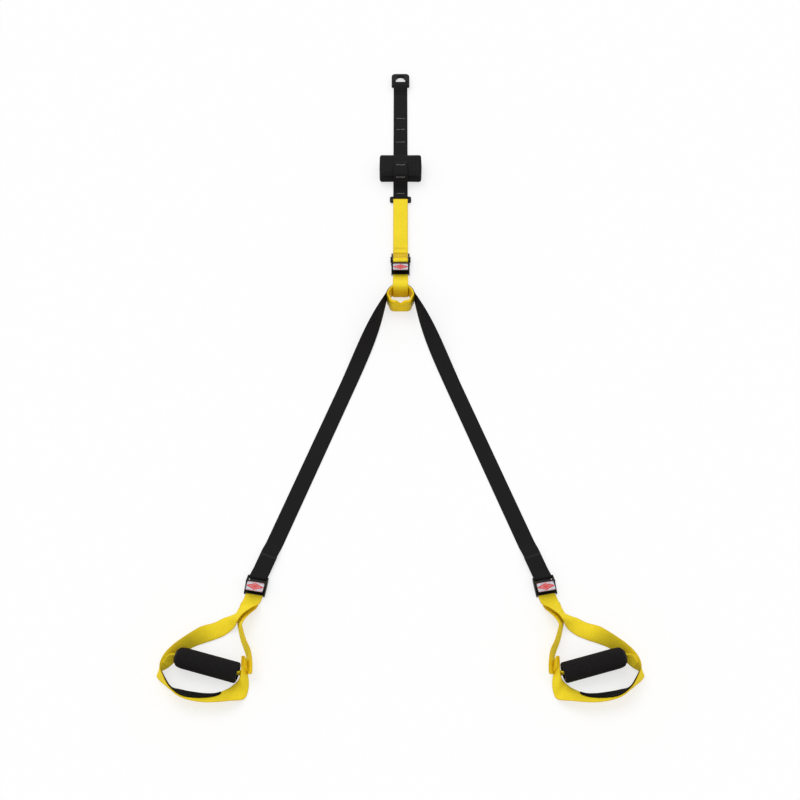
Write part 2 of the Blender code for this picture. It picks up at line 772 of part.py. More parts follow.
def make_buckle(word, label, axis):
    """Frame, toothed cam with its lever, face plate, pin and spring."""
    flat = Vector((axis.y, -axis.x, 0))
    place = Matrix(((flat.x, axis.x, 0, label.x), (flat.y, axis.y, 0, label.y), (0, 0, 1, 0), (0, 0, 0, 1)))
    wall_mid = frame_inner + plate_thick / 2

    profile = ((-buckle_foot, 0.10), (-buckle_foot, 0.42), (-buckle_foot * 0.86, 0.56), (-buckle_foot * 0.3, 0.78),
               (pin_up - cam_r * 0.8, 1.0), (pin_up + cam_r * 0.8, 1.0), (bar_up, 0.88), (buckle_head * 0.94, 0.74),
               (buckle_head, 0.62), (buckle_head, 0.30), (buckle_head * 0.93, 0.14), (bar_up * 0.8, 0.0),
               (-buckle_foot * 0.9, 0.0))
    outline = [(y, buckle_h * share) for y, share in profile]
    frame = prism(word + "_buckle_frame", outline, plate_thick / 2)
    frame.data.transform(Matrix.Translation((-wall_mid, 0, 0)))
    other = prism("other_wall", outline, plate_thick / 2)
    other.data.transform(Matrix.Translation((wall_mid, 0, 0)))
    bar = rod("top_bar", wall_mid, bar_r, sides=14)
    bar.data.transform(Matrix.Translation((0, bar_up, top_bar_z)))
    front = -guide_down
    lower = prism("guide_plate", ((front, guide_z + guide_t * 0.3), (front + guide_t * 0.3, guide_z),
                                  (front + guide_len - guide_t * 0.3, guide_z), (front + guide_len, guide_z + guide_t * 0.3),
                                  (front + guide_len, guide_z + guide_t * 0.7), (front + guide_len - guide_t * 0.3, guide_z + guide_t),
                                  (front + guide_t * 0.3, guide_z + guide_t), (front, guide_z + guide_t * 0.7)), wall_mid)
    base = prism("base", ((-base_down, 0), (base_up, 0), (base_up, base_t), (-base_down, base_t)), wall_mid)
    for piece in (base, bar, lower, other):
        boolean(frame, piece, "UNION")
    lug_z = top_bar_z
    low, high = bar_up - lug_len * 0.2, bar_up + lug_len * 0.8
    chamfer = lug_h * 0.14
    for way in (-1, 1):
        lug = prism("lug", ((low, lug_z - lug_h / 2 + chamfer), (low + chamfer, lug_z - lug_h / 2),
                            (high - chamfer, lug_z - lug_h / 2), (high, lug_z - lug_h / 2 + chamfer),
                            (high, lug_z + lug_h / 2 - chamfer), (high - chamfer, lug_z + lug_h / 2),
                            (low + chamfer, lug_z + lug_h / 2), (low, lug_z + lug_h / 2 - chamfer)),
                    (lug_out + plate_thick / 2) / 2)
        lug.data.transform(Matrix.Translation((way * (wall_mid + (lug_out + plate_thick / 2) / 2), 0, 0)))
        boolean(frame, lug, "UNION")
    hole = rod("pin_hole", frame_inner + plate_thick + overrun, pin_r + gap, sides=16)
    hole.data.transform(Matrix.Translation((0, pin_up, cam_z)))
    boolean(frame, hole, "DIFFERENCE")
    frame.name = word + "_buckle_frame"
    frame.data.name = frame.name
    frame.data.materials.clear()
    frame.data.materials.append(material(frame.name, BLACK_METAL, 0.38, 0.6))

    pin = rod(word + "_cam_pin", frame_inner + plate_thick + gap, pin_r,
              material(word + "_cam_pin", STEEL, 0.3, 1), 16)
    for way in (-1, 1):
        head = rod("head", pin_head_t / 2, pin_head_r, sides=16)
        head.data.transform(Matrix.Translation((way * (frame_inner + plate_thick + gap + pin_head_t / 2 - pin_r / 8), 0, 0)))
        boolean(pin, head, "UNION")
    pin.data.transform(Matrix.Translation((0, pin_up, cam_z)))

    cam = make_cam(word)
    plate = make_face_plate(word)
    spring = make_spring(word)
    bar_axis = pivot(word + "_buckle_axis", place @ Vector((0, bar_up, top_bar_z)), flat)
    cam_axis = pivot(word + "_cam_axis", place @ Vector((0, pin_up, cam_z)), flat)
    for obj in (frame, pin, cam, plate, spring):
        obj.matrix_world = place
    for obj in (frame, pin, spring):
        hang(obj, bar_axis)
    for obj in (cam, plate):
        hang(obj, cam_axis)
    return frame


def make_cam(word):
    """A drum with gripping teeth under it and a thumb lever on top."""
    c, s = math.cos(lever_tilt), math.sin(lever_tilt)

    def lever(run, up):
        return (pin_up - run * c - up * s, cam_z + cam_r + up * c + run * s - lever_t)

    points = [lever(lever_len, 0), lever(lever_len, lever_t), lever(-cam_r * 0.2, lever_t)]
    first = math.radians(62)
    last = math.radians(-62)
    for k in range(7):
        angle = first + (last - first) * k / 6
        points.append((pin_up + cam_r * math.cos(angle), cam_z + cam_r * math.sin(angle)))
    sweep = math.radians(76)
    for k in range(2 * teeth + 1):
        angle = last - sweep * (k + 0.5) / (2 * teeth + 1)
        r = cam_r + (tooth_h if k % 2 else -tooth_h * 0.2)
        points.append((pin_up + r * math.cos(angle), cam_z + r * math.sin(angle)))
    for k in range(6):
        angle = last - sweep - math.radians(66) * (k + 1) / 7
        points.append((pin_up + cam_r * math.cos(angle), cam_z + cam_r * math.sin(angle)))
    points.append(lever(cam_r * 0.98, 0))
    cam = prism(word + "_buckle_cam", points, cam_w / 2, material(word + "_buckle_cam", BLACK_METAL, 0.35, 0.7))
    wing = prism("lever_wing", (lever(lever_len, 0), lever(lever_len, lever_t), lever(-cam_r * 0.2, lever_t),
                                lever(-cam_r * 0.2, 0)), lever_w / 2)
    boolean(cam, wing, "UNION")
    bore = rod("bore", cam_w, pin_r + gap, sides=16)
    bore.data.transform(Matrix.Translation((0, pin_up, cam_z)))
    boolean(cam, bore, "DIFFERENCE")
    cam.data.materials.clear()
    cam.data.materials.append(material(word + "_buckle_cam", BLACK_METAL, 0.35, 0.7))
    return cam


def make_face_plate(word):
    """The thin plate that lies on the lever."""
    bm = bmesh.new()
    half_l = label_len / 2
    outline = rounded_outline(label_w / 2, -half_l, half_l, label_len / 14, label_len / 14, 3)
    ring = [bm.verts.new((x, y, 0)) for x, y in outline]
    face = bm.faces.new(ring)
    pushed = bmesh.ops.extrude_face_region(bm, geom=[face])
    bmesh.ops.translate(bm, vec=(0, 0, label_t), verts=[v for v in pushed["geom"] if isinstance(v, bmesh.types.BMVert)])
    name = word + "_face_plate"
    mesh = mesh_from(name, bm)
    run = label_inset + half_l
    c, s = math.cos(lever_tilt), math.sin(lever_tilt)
    away = lever_len - run
    up = gap
    spot = Vector((0, pin_up - away * c - up * s, cam_z + cam_r + away * s + up * c))
    mesh.transform(Matrix.Translation(spot) @ Matrix.Rotation(-lever_tilt, 4, "X"))
    return add_object(name, mesh, material(name, PALE, 0.35, 0.2))


def make_spring(word):
    """A torsion spring on the pin beside the drum."""
    room = frame_inner - cam_w / 2
    coil_r = pin_r + gap + spring_wire
    pitch = (room - 2 * gap - 2 * spring_wire) / (spring_turns + 0.5)
    start = cam_w / 2 + gap + spring_wire
    curve = bpy.data.curves.new(word + "_cam_spring", "CURVE")
    curve.dimensions = "3D"
    curve.bevel_depth = spring_wire / 2
    curve.bevel_resolution = 1
    curve.use_fill_caps = True
    steps = 10 * spring_turns
    spline = curve.splines.new("POLY")
    spline.points.add(steps)
    for k in range(steps + 1):
        angle = 2 * math.pi * k / 10
        x = start + pitch * k / 10
        spline.points[k].co = (x, pin_up + coil_r * math.cos(angle), cam_z + coil_r * math.sin(angle), 1)
    curve.materials.append(material(word + "_cam_spring", STEEL, 0.3, 1))
    spring = bpy.data.objects.new(word + "_cam_spring", curve)
    bpy.context.collection.objects.link(spring)
    return spring


def loop_rows(shares, side, label):
    """Centres and width directions of a handle band from its shares."""
    centres = []
    across = []
    for x, y, z, heading, rise in smooth_rows(shares, loop_steps):
        a = math.radians(heading)
        b = math.radians(rise)
        spot = Vector((-side * x * handle_w, y * handle_len, z * web_w))
        centres.append(Vector((label.x, label.y, 0)) + spot)
        across.append(Vector((-side * math.cos(a) * math.cos(b), math.sin(a) * math.cos(b), math.sin(b))))
    return centres, across


def make_handle(side, word):
    """Strap with foot cradle, inner leg, lining, tube, foam and grip webbing."""
    label, axis = buckle_place(side)
    flat = Vector((side * axis.y, -side * axis.x, 0))
    centres, across = loop_rows(strap_shares, side, label)
    tail = []
    for run in (bar_up + hem_len * 0.55, 0, -buckle_foot * 0.98):
        tail.append(Vector((label.x, label.y, running_z)) + axis * run)
    name = "handle_strap_" + word
    full = tail + centres
    wide = [flat * -1 if flat.dot(across[0]) < 0 else flat] * len(tail) + across
    mesh = band_mesh(name, full, wide, web_w, web_t)
    strap = add_object(name, mesh, webbing_material(name, YELLOW))
    slide = pivot("handle_axis_" + word, label, axis * -1)
    hang(strap, slide)

    name = "inner_leg_" + word
    leg_centres, leg_across = loop_rows(inner_shares, side, label)
    mesh = band_mesh(name, leg_centres, leg_across, web_w, web_t)
    hang(add_object(name, mesh, webbing_material(name, YELLOW)), slide)

    first = round((len(centres) - 1) * lining_first_share)
    last = round((len(centres) - 1) * lining_last_share)
    tangents = spans(centres)
    middle = Vector((label.x, label.y, 0)) + Vector((side * handle_w / 2, -handle_len * 0.75, 0))
    lining = []
    narrow = []
    for k in range(first, last + 1):
        face = tangents[k].cross(across[k]).normalized()
        if face.dot(middle - centres[k]) < 0:
            face = face * -1
        # towards the tab the lining narrows to its lower edge
        left = (last - k) / ((last - first) * lining_tip_share)
        share = lining_end_share + (1 - lining_end_share) * min(1, left) ** 0.7
        drop = across[k] * (lining_w * (1 - share) / 2)
        lining.append(centres[k] - drop + face * (web_t / 2 + 4 * gap + lining_t / 2))
        narrow.append(across[k] * share)
    name = "cradle_lining_" + word
    mesh = band_mesh(name, lining, narrow, lining_w, lining_t, tangents=tangents[first:last + 1])
    hang(add_object(name, mesh, webbing_material(name, BLACK_WEB)), slide)
    make_grip(side, word, label, slide, centres, across)


def make_grip(side, word, label, slide, centres, across):
    """Foam on a plastic tube that turns on its own webbing."""
    ends = []
    for x, y, z in (grip_far_shares, grip_near_shares):
        ends.append(Vector((label.x - side * x * handle_w, label.y + y * handle_len, z * web_w)))
    far, near = ends
    along = (near - far).normalized()
    length = (near - far).length
    spin = pivot("grip_axis_" + word, far, along)
    hang(spin, slide)
    turn = X_AXIS.rotation_difference(along).to_matrix().to_4x4()
    place = Matrix.Translation((far + near) / 2) @ turn
    name = "grip_foam_" + word
    bore = tube_r + gap
    profile = [(-length / 2, bore), (-length / 2, grip_r - grip_soft)]
    for k in range(1, 4):
        angle = math.pi / 2 * k / 3
        profile.append((-length / 2 + grip_soft * (1 - math.cos(angle)), grip_r - grip_soft * (1 - math.sin(angle))))
    profile += [(-x, r) for x, r in reversed(profile)]
    foam = revolve(name, profile, 32, material(name, BLACK_FOAM, 0.85, 0))
    name = "grip_tube_" + word
    half = length / 2 + tube_extra
    rim = tube_wall / 4
    profile = [(-half, tube_r - tube_wall + rim), (-half, tube_r - rim), (-half + rim, tube_r), (half - rim, tube_r),
               (half, tube_r - rim), (half, tube_r - tube_wall + rim), (half - rim, tube_r - tube_wall),
               (-half + rim, tube_r - tube_wall)]
    tube = revolve(name, profile, 24, material(name, TUBE_GREY, 0.5, 0))
    for obj in (foam, tube):
        obj.matrix_world = place
        hang(obj, spin)
    make_grip_webbing(side, word, slide, far, near, along, centres, across)


def revolve(name, profile, steps, mat):
    """Turn a closed (x, r) profile round the X axis."""
    bm = bmesh.new()
    rings = []
    for k in range(steps):
        angle = 2 * math.pi * k / steps
        rings.append([bm.verts.new((x, r * math.cos(angle), r * math.sin(angle))) for x, r in profile])
    for k in range(steps):
        one = rings[k]
        two = rings[(k + 1) % steps]
        for j in range(len(profile)):
            n = (j + 1) % len(profile)
            bm.faces.new((one[j], one[n], two[n], two[j]))
    return add_object(name, mesh_from(name, bm), mat)


def make_grip_webbing(side, word, slide, far, near, along, centres, across):
    """Webbing through the tube whose ends lie against the loop."""
    tangents = spans(centres)
    count = len(centres)

    def against(share, drop):
        k = min(count - 1, round((count - 1) * share))
        face = tangents[k].cross(across[k]).normalized()
        if face.dot((far + near) / 2 - centres[k]) < 0:
            face = face * -1
        return centres[k] + face * (web_t + 3 * gap + drop), across[k] if across[k].z > 0 else -across[k]

    up = (Z_AXIS - along * Z_AXIS.dot(along)).normalized()
    lift = web_w * 0.05
    outer = [against(0.4848, 0), against(0.4697, 0), against(0.4545, lift),
             (far - along * (tube_extra + web_t), up), (far + along * tube_r / 2, up)]
    inner = [(near - along * tube_r / 2, up), (near + along * (tube_extra + web_t), up),
             against(0.918, -web_t * 0.2)]
    fine = []
    for rows in (outer, inner):
        fine += smooth_rows([(*spot, *wide) for spot, wide in rows], 3)
    line = [Vector(row[:3]) for row in fine]
    wide = [Vector(row[3:]).normalized() for row in fine]
    name = "grip_webbing_" + word
    mesh = band_mesh(name, line, wide, grip_web_w, web_t)
    hang(add_object(name, mesh, webbing_material(name, YELLOW)), slide)


make_anchor()
make_upper_strap()
make_buckle("upper", Vector((0, upper_label_y, 0)), Vector((0, 1, 0)))
make_equaliser_strap()
make_yoke()
for side, word in ((-1, "left"), (1, "right")):
    make_leg(side, word)
    make_buckle(word, *buckle_place(side))
    make_handle(side, word)
bpy.context.view_layer.update()
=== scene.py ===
import math

import bmesh
import bpy
from mathutils import Matrix, Vector


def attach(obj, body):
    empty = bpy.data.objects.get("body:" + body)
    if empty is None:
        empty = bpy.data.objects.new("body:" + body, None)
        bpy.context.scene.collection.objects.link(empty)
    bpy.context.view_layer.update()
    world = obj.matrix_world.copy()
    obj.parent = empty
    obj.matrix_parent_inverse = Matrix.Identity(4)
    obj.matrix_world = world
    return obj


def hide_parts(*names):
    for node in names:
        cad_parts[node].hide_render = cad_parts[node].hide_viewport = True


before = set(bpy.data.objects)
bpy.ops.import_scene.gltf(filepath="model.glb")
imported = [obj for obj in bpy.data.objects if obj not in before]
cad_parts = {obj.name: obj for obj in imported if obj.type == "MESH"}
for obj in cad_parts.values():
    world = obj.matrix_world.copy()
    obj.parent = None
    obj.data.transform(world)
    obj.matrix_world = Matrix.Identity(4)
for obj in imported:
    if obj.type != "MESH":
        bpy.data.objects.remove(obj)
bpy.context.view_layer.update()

# CAMERA
# The trainer lies face up on a pale floor.  The camera stands past its foot and
# looks along it, 30 degrees off straight down.
view = bpy.data.cameras.new("camera")
view.sensor_width = 36
view.lens = 54.54
view.shift_x = -0.5 / 800
camera = bpy.data.objects.new("camera", view)
camera.location = (0, -1.5968, 2.495)
camera.rotation_euler = (math.radians(30), 0, 0)
bpy.context.collection.objects.link(camera)
bpy.context.scene.camera = camera
bpy.context.scene.view_settings.view_transform = "Standard"


# FLOOR AND LIGHT
# A plain white studio floor, matt, so that it takes only a soft shadow.  A wide
# soft lamp stands beyond the anchor end, a little to the left.
def linear(code):
    """An sRGB hex colour as linear numbers."""
    out = []
    for k in (0, 2, 4):
        v = int(code[k:k + 2], 16) / 255
        out.append(v / 12.92 if v <= 0.04045 else ((v + 0.055) / 1.055) ** 2.4)
    return (*out, 1)


def add(tree, kind, facts=()):
    """One node, new or given: its properties, values and links.

    A node given as a value is linked by its first output."""
    node = tree.nodes.new(kind) if isinstance(kind, str) else kind
    for key, value in dict(facts).items():
        if isinstance(value, bpy.types.Node):
            value = value.outputs[0]
        if key == "stops":
            marks = node.color_ramp.elements
            for k, (place, colour) in enumerate(value):
                mark = marks[k] if k < 2 else marks.new(place)
                mark.position = place
                mark.color = colour
        elif isinstance(value, bpy.types.NodeSocket):
            tree.links.new(value, node.inputs[key])
        elif isinstance(key, str) and hasattr(node, key):
            setattr(node, key, value)
        else:
            node.inputs[key].default_value = value
    return node


def seen_white(tree):
    """1 where the eye, a gloss or clear plastic looks, else 0."""
    rays = add(tree, "ShaderNodeLightPath")
    two = add(tree, "ShaderNodeMath", {"operation": "MAXIMUM", 0: rays.outputs["Is Camera Ray"],
                                       1: rays.outputs["Is Glossy Ray"]})
    three = add(tree, "ShaderNodeMath", {"operation": "MAXIMUM", 0: two,
                                         1: rays.outputs["Is Transmission Ray"]})
    return three.outputs[0]


floor_size = 9.0
floor_white = "F8F8F8"
floor_glow = 0.62
glow_strength = 1.03
floor_gap = 0.0002
sky_share = 0.76
lamp_share = 0.24
lamp_soft = 40
lamp_lean = 34
lamp_turn = 24

floor = bpy.data.meshes.new("floor")
half = floor_size / 2
corners = [(x * half, y * half, 0) for x, y in ((-1, -1), (1, -1), (1, 1), (-1, 1))]
floor.from_pydata(corners, [], [(0, 1, 2, 3)])
ground = bpy.data.objects.new("floor", floor)
ground.location.z = -floor_gap
bpy.context.collection.objects.link(ground)
matt_white = bpy.data.materials.new("matt_white_floor")
matt_white.use_nodes = True
tree = matt_white.node_tree
tree.nodes.clear()
paint = add(tree, "ShaderNodeBsdfDiffuse", {"Color": linear(floor_white)})
glow = add(tree, "ShaderNodeEmission", {"Color": (1, 1, 1, 1), "Strength": glow_strength})
lift = add(tree, "ShaderNodeMath", {"operation": "MULTIPLY", 0: seen_white(tree), 1: floor_glow})
both = add(tree, "ShaderNodeMixShader", {0: lift, 1: paint, 2: glow})
add(tree, "ShaderNodeOutputMaterial", {"Surface": both})
floor.materials.append(matt_white)

world = bpy.data.worlds.new("studio")
bpy.context.scene.world = world
world.use_nodes = True
tree = world.node_tree
tree.nodes.clear()
rest = add(tree, "ShaderNodeMath", {"operation": "MULTIPLY_ADD", 0: seen_white(tree),
                                    1: 1 - sky_share, 2: sky_share})
sky = add(tree, "ShaderNodeBackground", {"Color": (1, 1, 1, 1), "Strength": rest})
add(tree, "ShaderNodeOutputWorld", {"Surface": sky})

lamp = bpy.data.lights.new("soft_lamp", "SUN")
lamp.angle = math.radians(lamp_soft)
lamp.energy = lamp_share * math.pi / math.cos(math.radians(lamp_lean))
shine = bpy.data.objects.new("soft_lamp", lamp)
shine.rotation_euler = (-math.radians(lamp_lean), 0, math.radians(lamp_turn))
bpy.context.collection.objects.link(shine)


# ANCHOR RING
# A rectangular ring with a round head, which hangs on a hook or a bar.  It is
# cast steel, powder coated black, and turns in the webbing's sewn eye.
def finish_of(name):
    """A new node material, its nodes, its shader and each point's own place."""
    mat = bpy.data.materials.new(name)
    mat.use_nodes = True
    tree = mat.node_tree
    place = add(tree, "ShaderNodeTexCoord")
    return mat, tree, tree.nodes["Principled BSDF"], place.outputs["Object"]


# nearly all of a noise lies in this range
noise_range = {"From Min": 0.3, "From Max": 0.7}


def powder_coat(name, code, worn="1B191A", grain=0.0011, bite=0.00006):
    """Satin powder coat: a dense black with the faint orange peel of its bake."""
    mat, tree, shader, place = finish_of(name)
    # orange peel is about 1.1 mm from crest to crest
    peel = add(tree, "ShaderNodeTexNoise", {"Scale": 1 / grain, "Detail": 2.0, "Vector": place})
    wear = add(tree, "ShaderNodeTexNoise", {"Scale": 1 / 0.014, "Detail": 4.0, "Vector": place})
    bump = add(tree, "ShaderNodeBump", {"Strength": 0.35, "Distance": bite, "Height": peel})
    tone = add(tree, "ShaderNodeValToRGB", {"stops": ((0.35, linear(code)), (0.75, linear(worn))),
                                            "Fac": wear})
    rough = add(tree, "ShaderNodeMapRange", {**noise_range, "To Min": 0.34, "To Max": 0.5, "Value": wear})
    add(tree, shader, {"Base Color": tone, "Roughness": rough, "Normal": bump, "Metallic": 0, "IOR": 1.5,
                       "Specular IOR Level": 0.11})
    return mat


def rounded_outline(half_w, low, high, r_low, r_high, steps=8):
    """A rounded rectangle from its lower left corner, counter-clockwise."""
    corners = ((-half_w + r_low, low + r_low, r_low, math.pi),
               (half_w - r_low, low + r_low, r_low, 1.5 * math.pi),
               (half_w - r_high, high - r_high, r_high, 0),
               (-half_w + r_high, high - r_high, r_high, 0.5 * math.pi))
    out = []
    for cx, cy, r, start in corners:
        for k in range(steps + 1):
            angle = start + math.pi / 2 * k / steps
            out.append((cx + r * math.cos(angle), cy + r * math.sin(angle)))
    return out


def put(name, bm, mat, round_up=0, sharp=40):
    """A bmesh as a smooth object, with a small round on its edges if asked."""
    bmesh.ops.recalc_face_normals(bm, faces=bm.faces)
    mesh = bpy.data.meshes.new(name)
    bm.to_mesh(mesh)
    bm.free()
    mesh.materials.append(mat)
    obj = bpy.data.objects.new(name, mesh)
    bpy.context.collection.objects.link(obj)
    mesh.shade_smooth()
    if round_up:
        bevel = obj.modifiers.new("rounds", "BEVEL")
        bevel.width = round_up
        bevel.segments = 3
        bevel.limit_method = "ANGLE"
        bevel.angle_limit = math.radians(sharp)
        bevel.harden_normals = True
    else:
        mesh.set_sharp_from_angle(angle=math.radians(sharp))
    return obj


def skin(bm, rings, closed=False):
    """Faces between each ring of vertices and the next."""
    for one, two in zip(rings, rings[1:] + rings[:closed]):
        for k in range(len(one)):
            n = (k + 1) % len(one)
            bm.faces.new((one[k], one[n], two[n], two[k]))


def hoop(outer, inner, low, tops):
    """A wall between two matching outlines, its top as high as tops says."""
    bm = bmesh.new()
    skin(bm, [[bm.verts.new(co) for co in ((ox, oy, low), (ox, oy, top), (ix, iy, top), (ix, iy, low))]
              for (ox, oy), (ix, iy), top in zip(outer, inner, tops)], True)
    return bm


def fit(piece, body, *nodes):
    """The piece moves with the body and stands for these solids."""
    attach(piece, body)
    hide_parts(*nodes)


web_w = 0.038
web_t = 0.002
gap = 0.0003
anchor_end = 0.8904
ring_wall = 0.005
ring_half = web_w / 2 + 0.0008 + ring_wall
ring_len = 0.0435
ring_depth = 0.011
ring_low = anchor_end - ring_len
ring_bottom = web_t + gap
ring_top = ring_bottom + ring_depth

eye_half = 0.0140
eye_foot = ring_low + 0.0185
eye_head = anchor_end - ring_wall - 0.0012
slot_head = ring_low + 0.0150
slot_step = 0.0012
slot_lip = 0.002
eye_points = 14

coated_black = powder_coat("powder_coated_steel", "100F10")
# the webbing's slot is wide at the foot, and the eye above it is a low arch
slot_half = ring_half - ring_wall
opening = rounded_outline(slot_half, ring_low + ring_wall, slot_head, 0.0012, 0.001)[:18]
opening += [(slot_half, slot_head), (eye_half + slot_lip, slot_head + slot_step)]
for k in range(eye_points):
    angle = math.pi * k / (eye_points - 1)
    opening.append((eye_half * math.cos(angle), eye_foot + (eye_head - eye_foot) * math.sin(angle)))
opening += [(-eye_half - slot_lip, slot_head + slot_step), (-slot_half, slot_head)]
ring = put("anchor_ring_cast", hoop(
    rounded_outline(ring_half, ring_low, anchor_end, 0.003, 0.010), opening,
    ring_bottom, [ring_top] * len(opening)), coated_black, 0.0011)
fit(ring, "anchor_ring", "anchor_ring")


# ANCHOR STRAP
# Black nylon webbing, 38 mm wide and 2 mm thick, doubled on itself and sewn into
# a loop: it goes round the anchor ring, up over the door pad and round the link.
def nylon_webbing(name, code, deep, painted_crest_highlight, gloss=0.62, shine=0.12):
    """Heavy woven nylon: ribs along it, each split by the weft that binds them."""
    mat, tree, shader, place = finish_of(name)
    uv = add(tree, "ShaderNodeUVMap", {"uv_map": "run"})
    axes = add(tree, "ShaderNodeSeparateXYZ", {0: uv})
    # real ribs are 1.2 mm apart with a weft every 1.5 mm: both are drawn twice as coarse to show
    ribs = add(tree, "ShaderNodeMath", {"operation": "DIVIDE", 0: axes.outputs[0], 1: 0.0024})
    weft = add(tree, "ShaderNodeMath", {"operation": "DIVIDE", 0: axes.outputs[1], 1: 0.0030})
    whole = add(tree, "ShaderNodeMath", {"operation": "FLOOR", 0: ribs})
    step = add(tree, "ShaderNodeMath", {"operation": "MULTIPLY_ADD", 0: whole, 1: 0.5, 2: weft})
    rib = add(tree, "ShaderNodeMath", {"operation": "PINGPONG", 0: ribs, 1: 0.5})
    pick = add(tree, "ShaderNodeMath", {"operation": "PINGPONG", 0: step, 1: 0.5})
    swell = add(tree, "ShaderNodeMath", {"operation": "MULTIPLY", 0: rib, 1: pick})
    high = add(tree, "ShaderNodeMath", {"operation": "POWER", 0: swell, 1: 0.45})
    # painted shade and highlight: the weave's valleys take the deep colour and its crests the bright one,
    # besides the bump
    tone = add(tree, "ShaderNodeValToRGB", {
        "stops": ((0.05, linear(deep)), (0.3, linear(code)), (0.55, linear(painted_crest_highlight))), "Fac": high})
    # painted shade: both selvedges are drawn deeper, for the shade on the webbing's thick edges and the
    # shadow beside them
    off = add(tree, "ShaderNodeMath", {"operation": "SUBTRACT", 0: axes.outputs[0], 1: 0.019})
    far = add(tree, "ShaderNodeMath", {"operation": "ABSOLUTE", 0: off})
    edge = add(tree, "ShaderNodeMapRange", {"From Min": 0.0172, "From Max": 0.0186, "To Max": 0.9,
                                            "Value": far})
    wash = add(tree, "ShaderNodeTexNoise", {"Scale": 1 / 0.035, "Detail": 3.0, "Vector": place})
    dye = add(tree, "ShaderNodeMapRange", {**noise_range, "To Min": 0.94, "To Max": 1.05, "Value": wash})
    painted_edge_shade = add(tree, "ShaderNodeMix", {"data_type": "RGBA", 0: edge, 6: tone, 7: linear(deep)})
    shade = add(tree, "ShaderNodeHueSaturation", {"Value": dye, "Color": painted_edge_shade.outputs[2]})
    fuzz = add(tree, "ShaderNodeTexNoise", {"Scale": 1 / 0.0006, "Detail": 2.0, "Vector": place})
    relief = add(tree, "ShaderNodeMath", {"operation": "MULTIPLY_ADD", 0: fuzz, 1: 0.25, 2: high})
    bump = add(tree, "ShaderNodeBump", {"Strength": 0.55, "Distance": 0.0003, "Height": relief})
    rough = add(tree, "ShaderNodeMapRange", {"From Max": 0.6, "To Min": 0.85, "To Max": gloss, "Value": high})
    add(tree, shader, {"Base Color": shade, "Roughness": rough, "Normal": bump, "Metallic": 0, "IOR": 1.53,
                       "Specular IOR Level": shine})
    return mat


def spun_thread(name, code, deep):
    """Bonded polyester thread: a light twist with a little shine."""
    mat, tree, shader, place = finish_of(name)
    # the twist of a 0.5 mm thread repeats about every 0.6 mm
    twist = add(tree, "ShaderNodeTexNoise", {"Scale": 1 / 0.0006, "Detail": 1.0, "Vector": place})
    tone = add(tree, "ShaderNodeValToRGB", {"stops": ((0.3, linear(deep)), (0.6, linear(code))),
                                            "Fac": twist})
    bump = add(tree, "ShaderNodeBump", {"Strength": 0.4, "Distance": 0.0001, "Height": twist})
    add(tree, shader, {"Base Color": tone, "Normal": bump, "Roughness": 0.5, "IOR": 1.57})
    return mat


def smooth_rows(rows, steps):
    """Catmull-Rom rows between the given ones, spaced by how far apart they lie."""
    knots = [0]
    for one, two in zip(rows, rows[1:]):
        knots.append(knots[-1] + math.sqrt(max(math.dist(one[:3], two[:3]), 1e-7)))
    last = len(rows) - 1
    slopes = []
    for i in range(len(rows)):
        low = max(i - 1, 0)
        high = min(i + 1, last)
        if low == i or high == i:
            slopes.append([(b - a) / (knots[high] - knots[low]) for a, b in zip(rows[low], rows[high])])
            continue
        fore = knots[i] - knots[low]
        aft = knots[high] - knots[i]
        slopes.append([(aft * (b - a) / fore + fore * (c - b) / aft) / (fore + aft)
                       for a, b, c in zip(rows[low], rows[i], rows[high])])
    out = []
    for i in range(last):
        span = knots[i + 1] - knots[i]
        for k in range(steps):
            t = k / steps
            out.append(tuple((2 * t ** 3 - 3 * t * t + 1) * a + (t ** 3 - 2 * t * t + t) * span * m
                             + (3 * t * t - 2 * t ** 3) * b + (t ** 3 - t * t) * span * n
                             for a, b, m, n in zip(rows[i], rows[i + 1], slopes[i], slopes[i + 1])))
    out.append(tuple(rows[last]))
    return out


def spans(values, closed=False):
    """Unit tangents of a chain of points."""
    last = len(values) - 1
    if closed:
        return [(values[(i + 1) % (last + 1)] - values[i - 1]).normalized() for i in range(last + 1)]
    return [(values[min(i + 1, last)] - values[max(i - 1, 0)]).normalized() for i in range(last + 1)]


def band(name, line, width, thick, mat, closed=False, shares=None, tangents=None):
    """Webbing with rounded selvedges along a route; shares narrow it row by row."""
    centres, across = line
    # shares of the width and the thickness: flat faces that thin out to round selvedges
    top = [(s, 0.5 - 0.07 * (abs(s) > 0.4)) for s in (0.482, 0.4, 0.2, 0, -0.2, -0.4, -0.482)]
    section = top + [(-0.5, 0.2), (-0.5, -0.2)] + [(-s, -t) for s, t in top] + [(0.5, -0.2), (0.5, 0.2)]
    ahead = tangents or spans(centres, closed)
    bm = bmesh.new()
    sheet = bm.loops.layers.uv.new("run")
    rings = []
    runs = [0]
    for i, (centre, wide) in enumerate(zip(centres, across)):
        face = ahead[i].cross(wide).normalized()
        share = shares[i] if shares else 1
        rings.append([bm.verts.new(centre + wide * (width * share * a) + face * (thick * b))
                      for a, b in section])
        if i:
            runs.append(runs[-1] + (centre - centres[i - 1]).length)
    count = len(rings)
    total = runs[-1] + (centres[0] - centres[-1]).length
    for i in range(count if closed else count - 1):
        n = (i + 1) % count
        v0, v1 = runs[i], runs[n] if n else total
        for k in range(len(section)):
            j = (k + 1) % len(section)
            quad = bm.faces.new((rings[i][k], rings[i][j], rings[n][j], rings[n][k]))
            for corner, (a, v) in zip(quad.loops, ((section[k][0], v0), (section[j][0], v0),
                                                   (section[j][0], v1), (section[k][0], v1))):
                corner[sheet].uv = ((a + 0.5) * width, v)
    if not closed:
        for i in (0, count - 1):
            cut = bm.faces.new(rings[i])
            for corner, (a, b) in zip(cut.loops, section):
                corner[sheet].uv = ((a + 0.5) * width, runs[i] + b * thick)
    return put(name, bm, mat, sharp=62)


